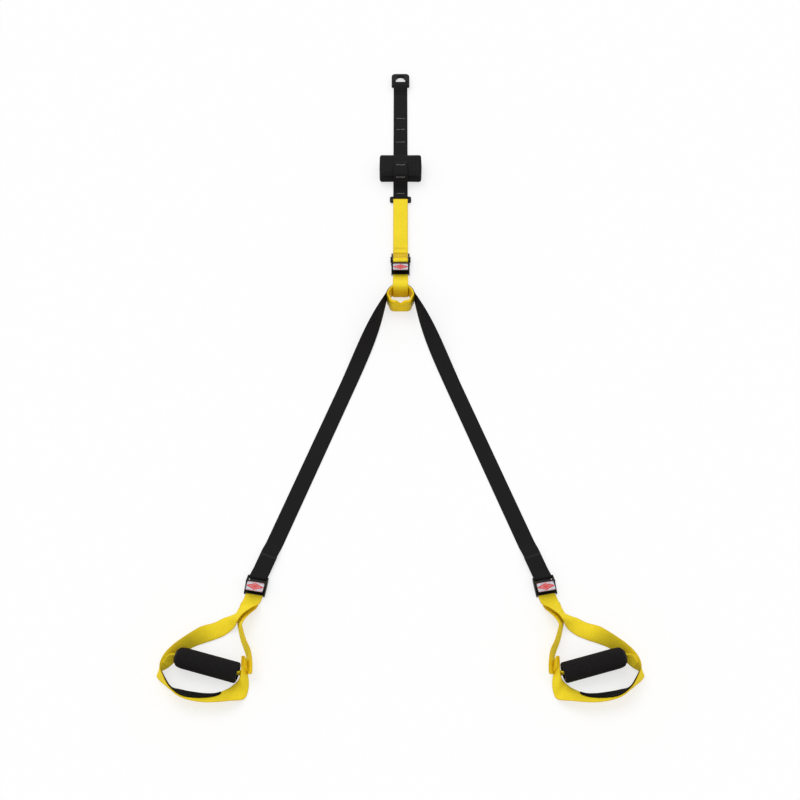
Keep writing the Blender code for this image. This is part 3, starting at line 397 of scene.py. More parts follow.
def strand(name, lines, r, steps, mat):
    """Round strands through lines of points, drawn as one curve object."""
    curve = bpy.data.curves.new(name, "CURVE")
    curve.dimensions = "3D"
    curve.bevel_depth = r
    curve.bevel_resolution = steps
    for line in lines:
        spline = curve.splines.new("POLY")
        spline.points.add(len(line) - 1)
        for point, spot in zip(spline.points, line):
            point.co = (*spot, 1)
    curve.materials.append(mat)
    obj = bpy.data.objects.new(name, curve)
    bpy.context.collection.objects.link(obj)
    return obj


def sewn(name, lines, thick, mat, body):
    """Threads along lines of points, on the piece that they hold."""
    obj = strand(name, lines, thick / 2, 1, mat)
    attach(obj, body)


def facing(ahead, wide, goal):
    """Square out of a band's face, on the goal's side."""
    face = ahead.cross(wide).normalized()
    return -face if face.dot(goal) < 0 else face


def bartack(line, at, wide, tall, proud, pitch=0.0009):
    """A close zigzag of thread across a route, where its y is at."""
    centres, across = line
    ahead = spans(centres)
    k = min(range(len(centres)), key=lambda i: abs(centres[i].y - at))
    face = facing(ahead[k], across[k], Vector((0, 0, 1)))
    middle = centres[k] + ahead[k] * ((at - centres[k].y) / (ahead[k].y or 1)) + face * proud
    count = round(wide / pitch)
    return [middle + across[k] * (wide * (i / count - 0.5)) + ahead[k] * (tall * (0.5 if i % 2 else -0.5))
            for i in range(count + 1)]


def ramp(first, last, steps):
    """An S-shaped side-view path from one height to another."""
    out = []
    for k in range(steps + 1):
        t = k / steps
        out.append((first[0] + (last[0] - first[0]) * t,
                    first[1] + (last[1] - first[1]) * t * t * (3 - 2 * t)))
    return out


def beside(points, step, floor_z):
    """A side-view path moved square to itself, kept above the floor."""
    out = []
    last = len(points) - 1
    for i, (y, z) in enumerate(points):
        ay, az = points[max(i - 1, 0)]
        by, bz = points[min(i + 1, last)]
        far = math.hypot(by - ay, bz - az)
        out.append((y - step * (bz - az) / far, max(z + step * (by - ay) / far, floor_z)))
    return out


def arc(cy, cz, r, first, last, steps):
    """Points of an arc, ends included."""
    return [(cy + r * math.cos(first + (last - first) * k / steps),
             cz + r * math.sin(first + (last - first) * k / steps)) for k in range(steps + 1)]


def upright(points):
    """Side-view points as a route over the middle line."""
    return [Vector((0, y, z)) for y, z in points], [Vector((1, 0, 0))] * len(points)


black_web = nylon_webbing("black_nylon_webbing", "161415", "0A0909", "1E1B1C")
grey_thread = spun_thread("grey_bonded_thread", "B9B7B4", "86837F")

ply = web_t + gap
floor_z = web_t / 2
second_z = floor_z + ply
link_len = 0.020
link_r = 0.0026
link_wrap_r = link_r + gap + web_t / 2
link_z = floor_z + link_wrap_r
link_y = anchor_end - 0.4434
link_top = link_y + link_len / 2 - link_r
link_low = link_y - link_len / 2 + link_r
pad_len = 0.0635
pad_h = 0.033
pad_crown = 0.0035
pad_y = anchor_end - 0.316 - pad_len / 2
anchor_rise = 0.030
loop_slack = 0.0006
climb_from, climb_to = 0.7, 0.06
sink_from, sink_to = 0.02, 0.45

over = ring_top + gap + web_t / 2
eye_r = (over - floor_z) / 2
eye_y = ring_low + ring_wall + 0.0095 - eye_r
pad_top = pad_y + pad_len / 2
pad_foot = pad_y - pad_len / 2
face_z = pad_h + pad_crown + gap + web_t / 2
turn = arc(link_top, link_z, link_wrap_r, -math.pi / 2, -1.5 * math.pi, 14)
turn = [(y - loop_slack * math.sin(math.pi * k / 14), z) for k, (y, z) in enumerate(turn)]
climb = ramp((pad_foot - web_w * climb_from, second_z), (pad_foot - web_w * climb_to, face_z), 16)
sink = ramp((pad_y - pad_len * sink_from, face_z), (pad_top + web_w * sink_to, second_z), 20)
front = [(link_top + anchor_rise * 0.6, second_z)] + climb + sink
back = beside(front, -ply, floor_z)
lead = ramp((ring_low - anchor_rise, second_z), (ring_low, over), 12) + [(eye_y, over)]
slope_rows = ((0.22, 0.72), (0.385, 0.24))
slope = [(link_top + anchor_rise * run, link_z + link_wrap_r * up) for run, up in slope_rows]
line = turn + slope + front + lead[:-1]
line += arc(eye_y, floor_z + eye_r, eye_r, math.pi / 2, -math.pi / 2, 26)
line += [(ring_low - anchor_rise, floor_z)] + back[::-1]
anchor_strap = band("anchor_strap_webbing", upright(line), web_w, web_t, black_web, closed=True)
fit(anchor_strap, "anchor", "anchor_strap")

top_layer = upright(slope + front + lead)
tack_w = 0.021
tack_tall = 0.0030
tack_rows = (0.7318, 0.6922, 0.6467, 0.5370, 0.5018, 0.4659)
thread_t = 0.0008
on_face = web_t / 2 + thread_t * 0.2
tacks = [bartack(top_layer, y, tack_w, tack_tall, on_face) for y in tack_rows]
sewn("anchor_bartacks", tacks, thread_t, grey_thread, "anchor")


# DOOR PAD
# A block of dense foam in a cover of coarse black cloth, sewn at its edges.  The
# strap runs through it, and it wedges behind a closed door.
def cover_cloth(name, code, deep, painted_crest_highlight):
    """Coarse 1000-denier plain weave: matt, with each thread standing up."""
    mat, tree, shader, place = finish_of(name)
    # threads of 0.9 mm, drawn at 1.8 mm so that they show
    warp = add(tree, "ShaderNodeTexWave", {"bands_direction": "X", "Scale": 0.314 / 0.0018 / 2,
                                           "Distortion": 0.6, "Detail": 1.0, "Vector": place})
    fill = add(tree, "ShaderNodeTexWave", {"bands_direction": "Y", "Scale": 0.314 / 0.0018 / 2,
                                           "Distortion": 0.6, "Detail": 1.0, "Vector": place})
    weave = add(tree, "ShaderNodeMath", {"operation": "MULTIPLY", 0: warp.outputs["Fac"],
                                         1: fill.outputs["Fac"]})
    # painted shade and highlight: the gaps of the weave take the deep colour and the crossings the bright
    # one, besides the bump
    tone = add(tree, "ShaderNodeValToRGB", {
        "stops": ((0.0, linear(deep)), (0.4, linear(code)), (0.9, linear(painted_crest_highlight))), "Fac": weave})
    bump = add(tree, "ShaderNodeBump", {"Strength": 0.5, "Distance": 0.0003, "Height": weave})
    add(tree, shader, {"Base Color": tone, "Normal": bump, "Roughness": 0.82, "IOR": 1.5,
                       "Specular IOR Level": 0.12})
    return mat


def settled(obj):
    """The mesh that an object's modifiers make, which then come off."""
    bpy.context.view_layer.update()
    mesh = bpy.data.meshes.new_from_object(obj.evaluated_get(bpy.context.evaluated_depsgraph_get()))
    obj.modifiers.clear()
    return mesh


def puffed(obj, voxel, cap, press=4.0, frames=20, draw_in=0.15, lowest=0.0002):
    """Blow the closed shape up as cloth and keep what it becomes."""
    even = obj.modifiers.new("even", "REMESH")
    even.mode = "VOXEL"
    even.voxel_size = voxel
    obj.data = settled(obj)
    home = [v.co.copy() for v in obj.data.vertices]
    cloth = obj.modifiers.new("cloth", "CLOTH")
    cloth.settings.use_pressure = True
    cloth.settings.uniform_pressure_force = press
    cloth.settings.effector_weights.gravity = 0
    cloth.point_cache.frame_end = frames
    for k in range(1, frames + 1):
        bpy.context.scene.frame_set(k)
    blown = settled(obj)
    bpy.context.scene.frame_set(1)
    core = sum(home, Vector()) / len(home)
    for vertex, old in zip(blown.vertices, home):
        move = vertex.co - old
        # the foam block inside keeps the cloth from drawing in
        hold = draw_in if move.dot(old - core) < 0 else 1
        vertex.co = old + move * (hold * min(1, cap / max(move.length, 1e-9)))
        vertex.co.z = max(vertex.co.z, lowest)
    obj.data = blown
    finer = obj.modifiers.new("finer", "SUBSURF")
    finer.levels = finer.render_levels = 1
    obj.data = settled(obj)


pad_cloth = cover_cloth("coarse_cover_cloth", "1F1D1D", "100F0F", "2C292A")
pad_w = 0.108
pad_waist = 0.0025
pad_corner = 0.005
slack = 0.0006
fill_side = 0.0014
fill_foot = 0.0024
fill_head = 0.0040
cover_crown = 0.0008
slot_clear = 0.0006
slot_mouth = pad_y + 0.004
pad_edge = pad_waist + 0.001
waist_rows = ((0, -pad_edge), (0.05, -pad_waist * 0.7), (0.14, -pad_waist * 0.2), (0.3, 0), (0.7, 0),
              (0.86, -pad_waist * 0.2), (0.95, -pad_waist * 0.7), (1.0, -pad_edge))
crown_rows = ((0.9, 0.3), (0.75, 0.6), (0.5, 0.9), (0.25, 1))

bm = bmesh.new()
rings = []
for share, inset in waist_rows:
    give = inset * 0.3
    outline = rounded_outline(pad_w / 2 + give + fill_side, pad_foot - give - fill_foot,
                              pad_top + give + fill_head, pad_corner, pad_corner, 6)
    rings.append([bm.verts.new((x, y, slack + (pad_h - 2 * slack) * share)) for x, y in outline])
skin(bm, rings)
bm.faces.new(rings[0])
base = [v.co.copy() for v in rings[-1]]
crown = [rings[-1]]
for share, rise in crown_rows:
    top = pad_h - slack + cover_crown * rise
    crown.append([bm.verts.new((co.x * share, pad_y + (co.y - pad_y) * share, top)) for co in base])
skin(bm, crown)
bm.faces.new(crown[-1])
pad = put("door_pad_cover", bm, pad_cloth)
puffed(pad, 0.0028, 0.0014)

# below its mouth the slot is open, and the strap lies pressed into the cover
middle = [((y0 + y1) / 2, (z0 + z1) / 2) for (y0, z0), (y1, z1) in zip(front, back)]
for vertex in pad.data.vertices:
    x, y, z = vertex.co
    if abs(x) < web_w / 2 + slot_clear and y < slot_mouth:
        for (y0, z0), (y1, z1) in zip(middle, middle[1:]):
            if y0 <= y <= y1:
                strap_z = z0 + (z1 - z0) * (y - y0) / (y1 - y0)
                vertex.co.z = min(z, strap_z - ply / 2 - web_t / 2 - slot_clear)
                break
pad.data.shade_smooth()
pad.data.set_sharp_from_angle(angle=math.radians(55))
fit(pad, "anchor", "door_pad")

# a bound edge arches over the place where the strap comes out of the cover
bind_half = web_w / 2 + 0.0022
bind_head = pad_y + 0.0050
bind_foot = pad_y - 0.0120
bind_bend = 0.009
bind_r = 0.0011
bind_path = [(-bind_half, bind_foot)]
for cx, first in ((-bind_half + bind_bend, math.pi), (bind_half - bind_bend, math.pi / 2)):
    bind_path += arc(cx, bind_head - bind_bend, bind_bend, first, first - math.pi / 2, 10)
bind_path.append((bind_half, bind_foot))
bpy.context.view_layer.update()
bound = []
for x, y in bind_path:
    hit, spot, _, _ = pad.ray_cast(Vector((x, y, 1)), Vector((0, 0, -1)))
    top = spot.z if hit and spot.z > pad_h / 2 else pad_h
    bound.append(Vector((x, y, top + bind_r * 0.3)))
binding = cover_cloth("cover_binding_tape", "343132", "1C1A1B", "454142")
sewn("pad_slot_binding", [bound], 2 * bind_r, binding, "anchor")


# LINK RING
# A rectangular ring of forged steel, 5 mm thick with broad ears and coated
# black, which joins the black anchor strap to the yellow one.
link_half = 0.056 / 2
link_bend = 0.0045
link_ear = 0.0088
link_eye_bend = 0.0015
outline = rounded_outline(link_half, link_y - link_len / 2, link_y + link_len / 2, link_bend, link_bend)
opening = rounded_outline(link_half - link_ear, link_low + link_r, link_top - link_r,
                          link_eye_bend, link_eye_bend)
link = put("link_ring_forged", hoop(outline, opening, link_z - link_r, [link_z + link_r] * len(outline)),
           coated_black, 0.0022)
fit(link, "link", "link_ring")


# UPPER STRAP
# Yellow nylon webbing that joins the link to the top buckle: from its cut front
# end over the link, behind and round the buckle's bar, then hemmed on itself.
yellow_web = nylon_webbing("yellow_nylon_webbing", "FAE42E", "DAAF0C", "FDEC40")
gold_thread = spun_thread("golden_bonded_thread", "E8C01E", "C99D12")

running_z = 0.0015 + gap + web_t / 2
hem_z = running_z + ply
main_z = hem_z + ply
flap_z = main_z + ply
bar_r = 0.0025
wrap_r = bar_r + gap + web_t / 2
bar_z = hem_z + wrap_r
bar_up = 0.0200
upper_bar = link_low - 0.195
upper_label = upper_bar - bar_up
flap_end = upper_bar + 0.026
hem_len = 0.045
rise = web_w * 0.9
fold_slack = 0.0046
join = link_low - link_wrap_r
fold_end = upper_bar + 3.2 * wrap_r
seam_rows = (0.2856, 0.2824)
seam_w = web_w * 0.86
seam_tall = 0.0009
seam_pitch = 0.0022

front_run = [(flap_end, flap_z)] + ramp((join - rise, flap_z), (link_low - gap, link_z + link_wrap_r), 14)
line = front_run[:-1]
for k, (y, z) in enumerate(arc(link_low, link_z, link_wrap_r, math.pi / 2, -math.pi / 2, 14)):
    line.append((y + fold_slack * math.sin(math.pi * k / 14), z))
line += (ramp((link_low - gap, link_z - link_wrap_r), (join - rise, main_z), 14)
         + ramp((fold_end, main_z), (upper_bar + gap, bar_z + wrap_r), 8))[1:-1]
line += arc(upper_bar, bar_z, wrap_r, math.pi * 0.5, math.pi * 1.5, 14)
line += [(upper_bar + hem_len / 2, hem_z), (upper_bar + hem_len, hem_z)]
upper_strap = band("upper_strap_webbing", upright(line), web_w, web_t, yellow_web)
fit(upper_strap, "upper", "upper_strap")

face_run = upright(front_run)
seams = [bartack(face_run, y, seam_w, seam_tall, on_face, seam_pitch) for y in seam_rows]
# rows of darker golden stitching side by side fill the block below the cut end, painted shade for the recess
# under the cut end
shade_stitch_run = upright([(flap_end + 0.006, main_z), (flap_end, main_z), (fold_end, main_z)])
shade_stitch_rows = 9
shade_stitch_tall = 0.0007
shade_stitch_pitch = 0.0030
shade_stitch_in = 0.0012
for k in range(shade_stitch_rows):
    y = flap_end - shade_stitch_in - (flap_end - upper_bar - 3.0 * wrap_r) * k / shade_stitch_rows
    seams.append(bartack(shade_stitch_run, y, web_w * 0.9, shade_stitch_tall, web_t / 2 + thread_t * 0.1, shade_stitch_pitch))
sewn("upper_strap_seams_and_shade_stitching", seams, thread_t, gold_thread, "upper")


# CAM BUCKLES
# Three buckles of pressed and powder-coated steel: two side plates on a bar, a
# guide and a base, with a sprung toothed cam whose thumb lever carries a face plate.
def blackened_steel(name, code):
    """Blackened spring steel: a dark grey metal, with fine drawn lines that catch the light."""
    mat, tree, shader, place = finish_of(name)
    # drawn lines about 0.3 mm apart
    lines = add(tree, "ShaderNodeTexNoise", {"Scale": 1 / 0.0003, "Detail": 2.0, "Vector": place})
    rough = add(tree, "ShaderNodeMapRange", {**noise_range, "To Min": 0.22, "To Max": 0.4, "Value": lines})
    add(tree, shader, {"Roughness": rough, "Base Color": linear(code), "Metallic": 1})
    return mat


def printed_plate(name, pale, red, deep):
    """Satin lacquered aluminium, printed red: a lozenge with a pale line in it and two edge lines."""
    mat, tree, shader, place = finish_of(name)
    uv = add(tree, "ShaderNodeUVMap", {"uv_map": "face"})
    axes = add(tree, "ShaderNodeSeparateXYZ", {0: uv})
    wide = add(tree, "ShaderNodeMath", {"operation": "ABSOLUTE", 0: axes.outputs[0]})
    tall = add(tree, "ShaderNodeMath", {"operation": "ABSOLUTE", 0: axes.outputs[1]})
    slant = add(tree, "ShaderNodeMath", {"operation": "MULTIPLY_ADD", 0: wide, 1: 0.72, 2: tall})
    inside = add(tree, "ShaderNodeMath", {"operation": "LESS_THAN", 0: slant, 1: 0.80})
    line = add(tree, "ShaderNodeMath", {"operation": "COMPARE", 0: slant, 1: 0.42, 2: 0.028})
    edge = add(tree, "ShaderNodeMath", {"operation": "COMPARE", 0: tall, 1: 0.90, 2: 0.04})
    solid = add(tree, "ShaderNodeMath", {"operation": "SUBTRACT", "use_clamp": True, 0: inside, 1: line})
    ink = add(tree, "ShaderNodeMath", {"operation": "MAXIMUM", 0: solid, 1: edge})
    # handling marks a few millimetres across
    marks = add(tree, "ShaderNodeTexNoise", {"Scale": 1 / 0.004, "Detail": 4.0, "Vector": place})
    ground = add(tree, "ShaderNodeValToRGB", {"stops": ((0.3, linear(deep)), (0.6, linear(pale))),
                                              "Fac": marks})
    colour = add(tree, "ShaderNodeMix", {"data_type": "RGBA", 0: ink, 6: ground, 7: linear(red)})
    rough = add(tree, "ShaderNodeMapRange", {**noise_range, "To Min": 0.3, "To Max": 0.45, "Value": marks})
    add(tree, shader, {"Base Color": colour.outputs[2], "Roughness": rough, "Metallic": 0, "IOR": 1.5})
    return mat


def push(bm, outline, half, off=0):
    """A side-view outline pushed out to both sides of the middle."""
    ends = [[bm.verts.new((off + way * half, y, z)) for y, z in outline] for way in (-1, 1)]
    bm.faces.new(ends[0])
    bm.faces.new(ends[1])
    skin(bm, ends)


def bar_across(bm, y, z, r, half, off=0, sides=40):
    """A round bar across the buckle."""
    place = Matrix.Translation((off, y, z)) @ Matrix.Rotation(math.pi / 2, 4, "Y")
    bmesh.ops.create_cone(bm, cap_ends=True, segments=sides, radius1=r, radius2=r,
                          depth=2 * half, matrix=place)


dark_steel = blackened_steel("blackened_steel_wire", "5A5A5C")
face_print = printed_plate("printed_satin_plate", "C9CCD4", "C92016", "878C9C")
lever_black = powder_coat("powder_coated_lever", "161516", grain=0.0009)

buckle_turn = math.radians(10)
leg_turn = math.radians(20.6)
leg_len = 0.7913
yoke_y = upper_label - 0.1058
yoke_r = 0.0335
yoke_low = web_t + gap
yoke_depth = 0.042
edge_z = yoke_low + yoke_depth / 2
plate_t = 0.003
horn_in = 0.0010
buckle_head = 0.036
buckle_foot = 0.0195
buckle_h = 0.0155
guide_down = 0.0175
guide_len = 0.0125
guide_t = 0.0026
base_low, base_high, base_t = -0.010, 0.013, 0.0015
lug_len = 0.015
lug_out = 0.0026
lug_h = 0.009
lug_w = lug_out + plate_t / 2
pin_up = 0.0085
pin_r = 0.0018
pin_head_r = 0.0032
pin_head_t = 0.0010
cam_r = 0.0062
cam_w = 0.030
tooth_h = 0.0008
teeth = 6
lever_t = 0.0022
lever_len = 0.0245
lever_w = 0.0394
lever_tilt = math.radians(7)
lever_root = -cam_r * 0.2
nose_arc = math.radians(62)
tooth_arc = math.radians(76)
heel_from, heel_to = math.radians(-147), math.radians(-204)
label_w = 0.0375
label_len = 0.0210
label_t = 0.0007
spring_wire = 0.0007
spring_turns = 4
inner = lever_w / 2 + gap
wall = inner + plate_t / 2
cam_z = running_z + web_t / 2 + gap + cam_r + tooth_h
guide_z = running_z + web_t / 2 + gap
lean = (math.cos(lever_tilt), math.sin(lever_tilt))


def leg_place(side):
    """Where a leg leaves the yoke, and the way that it runs."""
    r = yoke_r + gap + web_t / 2
    return (Vector((side * r * math.cos(leg_turn), yoke_y + r * math.sin(leg_turn), edge_z)),
            Vector((side * math.sin(leg_turn), -math.cos(leg_turn), 0)))


def buckle_place(side):
    """The middle of a buckle's face, and the way up its axis; 0 is the top one."""
    if not side:
        return Vector((0, upper_label, 0)), Vector((0, 1, 0))
    spot, way = leg_place(side)
    up = Vector((-side * math.sin(buckle_turn), math.cos(buckle_turn), 0))
    end = spot + way * leg_len
    return Vector((end.x, end.y, 0)) - up * bar_up, up


def on_lever(run, up):
    """A place on the thumb lever in side view, from its run down it and its height."""
    return pin_up - run * lean[0] - up * lean[1], cam_z + cam_r + up * lean[0] + run * lean[1] - lever_t


# side plates: places along the buckle, with shares of its height
low_side = [(-buckle_foot, 0.10), (-buckle_foot, 0.42), (-buckle_foot * 0.86, 0.56),
            (-buckle_foot * 0.3, 0.78), (pin_up - cam_r * 0.8, 1.0), (pin_up + cam_r * 0.8, 1.0)]
# the top buckle's plates run on beside the strap as horns; the leg buckles' stop at the bar
long_head = [(bar_up, 0.88), (buckle_head * 0.94, 0.74), (buckle_head * 1.22, 0.66),
             (buckle_head * 1.25, 0.56), (buckle_head * 1.2, 0.46), (buckle_head, 0.30),
             (buckle_head * 0.93, 0.14), (bar_up * 0.8, 0.0)]
short_head = [(bar_up, 0.78), (bar_up + 0.0030, 0.68), (bar_up + 0.0038, 0.54), (bar_up + 0.0030, 0.38),
              (bar_up * 0.8, 0.0)]


def round_box(y0, y1, z0, z1, cut):
    """A side-view oblong with its corners cut off."""
    return [(y0, z0 + cut), (y0 + cut, z0), (y1 - cut, z0), (y1, z0 + cut),
            (y1, z1 - cut), (y1 - cut, z1), (y0 + cut, z1), (y0, z1 - cut)]


for word, side, holder, presser in (("upper", 0, "upper_buckle", "upper_cam"),
                                    ("left", -1, "buckle_left", "cam_left"),
                                    ("right", 1, "buckle_right", "cam_right")):
    label, up = buckle_place(side)
    flat = Vector((up.y, -up.x, 0))
    place = Matrix(((flat.x, up.x, 0, label.x), (flat.y, up.y, 0, label.y), (0, 0, 1, 0), (0, 0, 0, 1)))

    side_shape = [(y, buckle_h * share) for y, share in
                  low_side + (short_head if side else long_head) + [(-buckle_foot * 0.9, 0.0)]]
    bm = bmesh.new()
    for way in (-1, 1):
        push(bm, side_shape, plate_t / 2, way * wall)
        if side:
            continue
        lug = round_box(bar_up - lug_len * 0.2, bar_up + lug_len * 0.8,
                        bar_z - lug_h / 2, bar_z + lug_h / 2, lug_h * 0.14)
        push(bm, lug, lug_w / 2, way * (wall + lug_w / 2))
        horn = [(y, buckle_h * share) for y, share in long_head]
        push(bm, horn, horn_in / 2, way * (inner - horn_in / 2 + gap))
    bar_across(bm, bar_up, bar_z, bar_r, wall)
    push(bm, round_box(-guide_down, guide_len - guide_down, guide_z, guide_z + guide_t, guide_t * 0.3), wall)
    push(bm, [(base_low, 0), (base_high, 0), (base_high, base_t), (base_low, base_t)], wall)
    bm.transform(place)
    frame_piece = put(word + "_buckle_body", bm, coated_black, 0.0006, 34)
    fit(frame_piece, holder, word + "_buckle_frame")

    bm = bmesh.new()
    bar_across(bm, pin_up, cam_z, pin_r, inner + plate_t + gap)
    for way in (-1, 1):
        bar_across(bm, pin_up, cam_z, pin_head_r, pin_head_t / 2,
                   way * (inner + plate_t + gap + pin_head_t / 2 - pin_r / 8))
    bm.transform(place)
    fit(put(word + "_riveted_pin", bm, dark_steel, 0.0003), holder, word + "_cam_pin")

    room = inner - cam_w / 2
    pitch = (room - 2 * gap - 2 * spring_wire) / (spring_turns + 0.5)
    coil = pin_r + gap + spring_wire
    turns = [(cam_w / 2 + gap + spring_wire + pitch * k / 24, pin_up + coil * math.cos(math.pi * k / 12),
              cam_z + coil * math.sin(math.pi * k / 12)) for k in range(24 * spring_turns + 1)]
    turns = [place @ Vector(spot) for spot in turns]
    spring = strand(word + "_coil_spring", [turns], spring_wire / 2, 4, dark_steel)
    spring.data.use_fill_caps = True
    spring.data.splines[0].use_smooth = True
    fit(spring, holder, word + "_cam_spring")

    bm = bmesh.new()
    cam = [on_lever(lever_len * 0.6, lever_t * 0.1), on_lever(lever_len * 0.6, lever_t * 0.9),
           on_lever(lever_root, lever_t)]
    cam += [(pin_up + y, cam_z + z) for y, z in arc(0, 0, cam_r, nose_arc, -nose_arc, 14)]
    for k in range(2 * teeth + 1):
        angle = -nose_arc - tooth_arc * (k + 0.5) / (2 * teeth + 1)
        r = cam_r + (tooth_h if k % 2 else -tooth_h * 0.2)
        cam.append((pin_up + r * math.cos(angle), cam_z + r * math.sin(angle)))
    cam += [(pin_up + y, cam_z + z) for y, z in arc(0, 0, cam_r, heel_from, heel_to, 8)]
    cam.append(on_lever(cam_r * 0.98, 0))
    push(bm, cam, cam_w / 2)
    push(bm, [on_lever(lever_len, 0), on_lever(lever_len, lever_t), on_lever(lever_root, lever_t),
              on_lever(lever_root, 0)], lever_w / 2)
    bm.transform(place)
    fit(put(word + "_cam_lever", bm, lever_black, 0.0005, 34), presser, word + "_buckle_cam")

    bm = bmesh.new()
    face_uv = bm.loops.layers.uv.new("face")
    outline = rounded_outline(label_w / 2, -label_len / 2, label_len / 2, label_len / 9, label_len / 9, 5)
    faces = [[bm.verts.new((x, y, z)) for x, y in outline] for z in (0, label_t)]
    bm.faces.new(faces[0])
    bm.faces.new(faces[1])
    skin(bm, faces)
    for quad in bm.faces:
        for corner in quad.loops:
            corner[face_uv].uv = (corner.vert.co.x / (label_w / 2), corner.vert.co.y / (label_len / 2))
    away = lever_len - 0.0006 - label_len / 2
    spot = Vector((0, pin_up - away * lean[0] - gap * lean[1],
                   cam_z + cam_r + away * lean[1] + gap * lean[0]))
    bm.transform(place @ Matrix.Translation(spot) @ Matrix.Rotation(-lever_tilt, 4, "X"))
    fit(put(word + "_printed_plate", bm, face_print, 0.00018), presser, word + "_face_plate")


# EQUALISER STRAP
# Yellow webbing: its tail passes up through the top buckle's cam, and its other
# end climbs over the yoke's arch, goes down inside and is sewn back under itself.
tail_len = 0.120
arch = yoke_y + math.sqrt((yoke_r - 0.004) ** 2 - (web_w / 2) ** 2)
crest = yoke_low + yoke_depth + gap + web_t / 2
inside = arch - gap - web_t / 2
outside = yoke_y + yoke_r + ply
start = upper_label - buckle_foot - gap
line = [(upper_bar + tail_len, running_z), (upper_label, running_z)]
line += smooth_rows([(start, running_z), (start - web_w * 0.12, running_z + yoke_depth * 0.04),
                     (outside + (start - outside) * 0.55, crest * 0.36),
                     (outside + (start - outside) * 0.22, crest * 0.72),
                     (outside + web_t * 0.6, crest * 0.95), (outside - 0.004, crest + web_t * 0.15),
                     (inside + 0.0045, crest - web_t * 0.1), (inside + 0.0012, crest - 0.0022),
                     (inside - 0.0016, crest - 0.0075), (inside - 0.0026, crest - 0.014),
                     (inside - 0.0022, crest * 0.45)], 8)
# inside the yoke it comes down to the floor and turns back under itself
line += [(inside - 0.001, crest * 0.25), (inside, floor_z + web_t * 1.6),
         (inside + web_t * 0.04, floor_z + web_t * 0.8), (inside + web_t * 0.2, floor_z + web_t * 0.22),
         (inside + web_t * 0.6, floor_z), (outside, floor_z), (start - web_w * 0.45, floor_z)]
equaliser = band("equaliser_webbing", upright(line), web_w, web_t, yellow_web)
fit(equaliser, "equaliser", "equaliser_strap")


# YOKE
# A thick moulded hoop of yellow nylon with a round arch, tapering sides and a
# notched foot.  Both legs hang from it, and it shares the load between them.
def moulded_nylon(name, code, deep):
    """Injection-moulded nylon: a smooth satin skin with a very fine spark texture."""
    mat, tree, shader, place = finish_of(name)
    # spark texture of about 0.5 mm
    spark = add(tree, "ShaderNodeTexNoise", {"Scale": 1 / 0.0005, "Detail": 2.0, "Vector": place})
    flow = add(tree, "ShaderNodeTexNoise", {"Scale": 1 / 0.02, "Detail": 2.0, "Vector": place})
    tone = add(tree, "ShaderNodeValToRGB", {"stops": ((0.3, linear(deep)), (0.65, linear(code))),
                                            "Fac": flow})
    bump = add(tree, "ShaderNodeBump", {"Strength": 0.25, "Distance": 0.00005, "Height": spark})
    rough = add(tree, "ShaderNodeMapRange", {**noise_range, "To Min": 0.36, "To Max": 0.5, "Value": flow})
    add(tree, shader, {"Base Color": tone, "Normal": bump, "Roughness": rough, "Metallic": 0, "IOR": 1.53,
                       "Specular IOR Level": 0.14})
    return mat


yellow_nylon = moulded_nylon("moulded_yellow_nylon", "F3D00A", "E6BE06")
yoke_wall = 0.004
yoke_tail = 0.0235
yoke_foot_w = 0.0565
yoke_foot_r = 0.013
notch_w = 0.022
notch_deep = 0.013
notch_rows = (-0.5, -0.4, -0.22, -0.08, 0, 0.08, 0.22, 0.4, 0.5)
foot_lift = 1.7


def yoke_outline(inset):
    """The arch, the tapering sides and the flat foot, inset by the wall."""
    r = yoke_r - inset
    foot = yoke_y - yoke_tail + inset * foot_lift
    half_w = yoke_foot_w / 2 - inset
    corner = max(yoke_foot_r - inset, yoke_wall / 4)
    out = arc(0, yoke_y, r, 0, math.pi, 48)
    out += arc(-half_w + corner, foot + corner, corner, math.pi, math.pi * 1.5, 12)
    out += [(notch_w * share, foot) for share in notch_rows]
    return out + arc(half_w - corner, foot + corner, corner, math.pi * 1.5, math.pi * 2, 12)


outer = yoke_outline(0)
tops = []
for x, y in outer:
    cut = max(0, 1 - abs(x) / (notch_w / 2)) if y < yoke_y else 0
    tops.append(yoke_low + yoke_depth - notch_deep * cut)
yoke = put("yoke_moulding", hoop(outer, yoke_outline(yoke_wall), yoke_low, tops), yellow_nylon, 0.0014)
fit(yoke, "yoke", "yoke")


# SADDLE STRAP
# The middle of the black nylon leg webbing.  It lies on edge round the yoke's
# arch, held only by the pull of both legs.
saddle_r = yoke_r + gap + web_t / 2
leave = leg_turn + (web_t / 2 + gap) / saddle_r
centres = [Vector((x, y, edge_z)) for x, y in arc(0, yoke_y, saddle_r, leave, math.pi - leave, 60)]
saddle = band("saddle_webbing", (centres, [Vector((0, 0, 1))] * len(centres)), web_w, web_t, black_web)
fit(saddle, "yoke", "saddle_strap")


# LEG STRAPS
# Black webbing on edge at the yoke, which turns flat as it runs down to its
# buckle, goes round the bar and is folded back under itself and sewn.
black_thread = spun_thread("black_bonded_thread", "1F1D1E", "111010")
sides = ((-1, "left"), (1, "right"))
leg_lay = 0.090
leg_start = 0.008
twist_len = 0.27
twist_power = 1.7
climb_share = 0.42
fold_rows = 14
hem_shares = (0, 0.3, 0.55)
seam_at = 0.5
seam_step = 0.0012
leg_proud = web_t / 2 + 0.0001

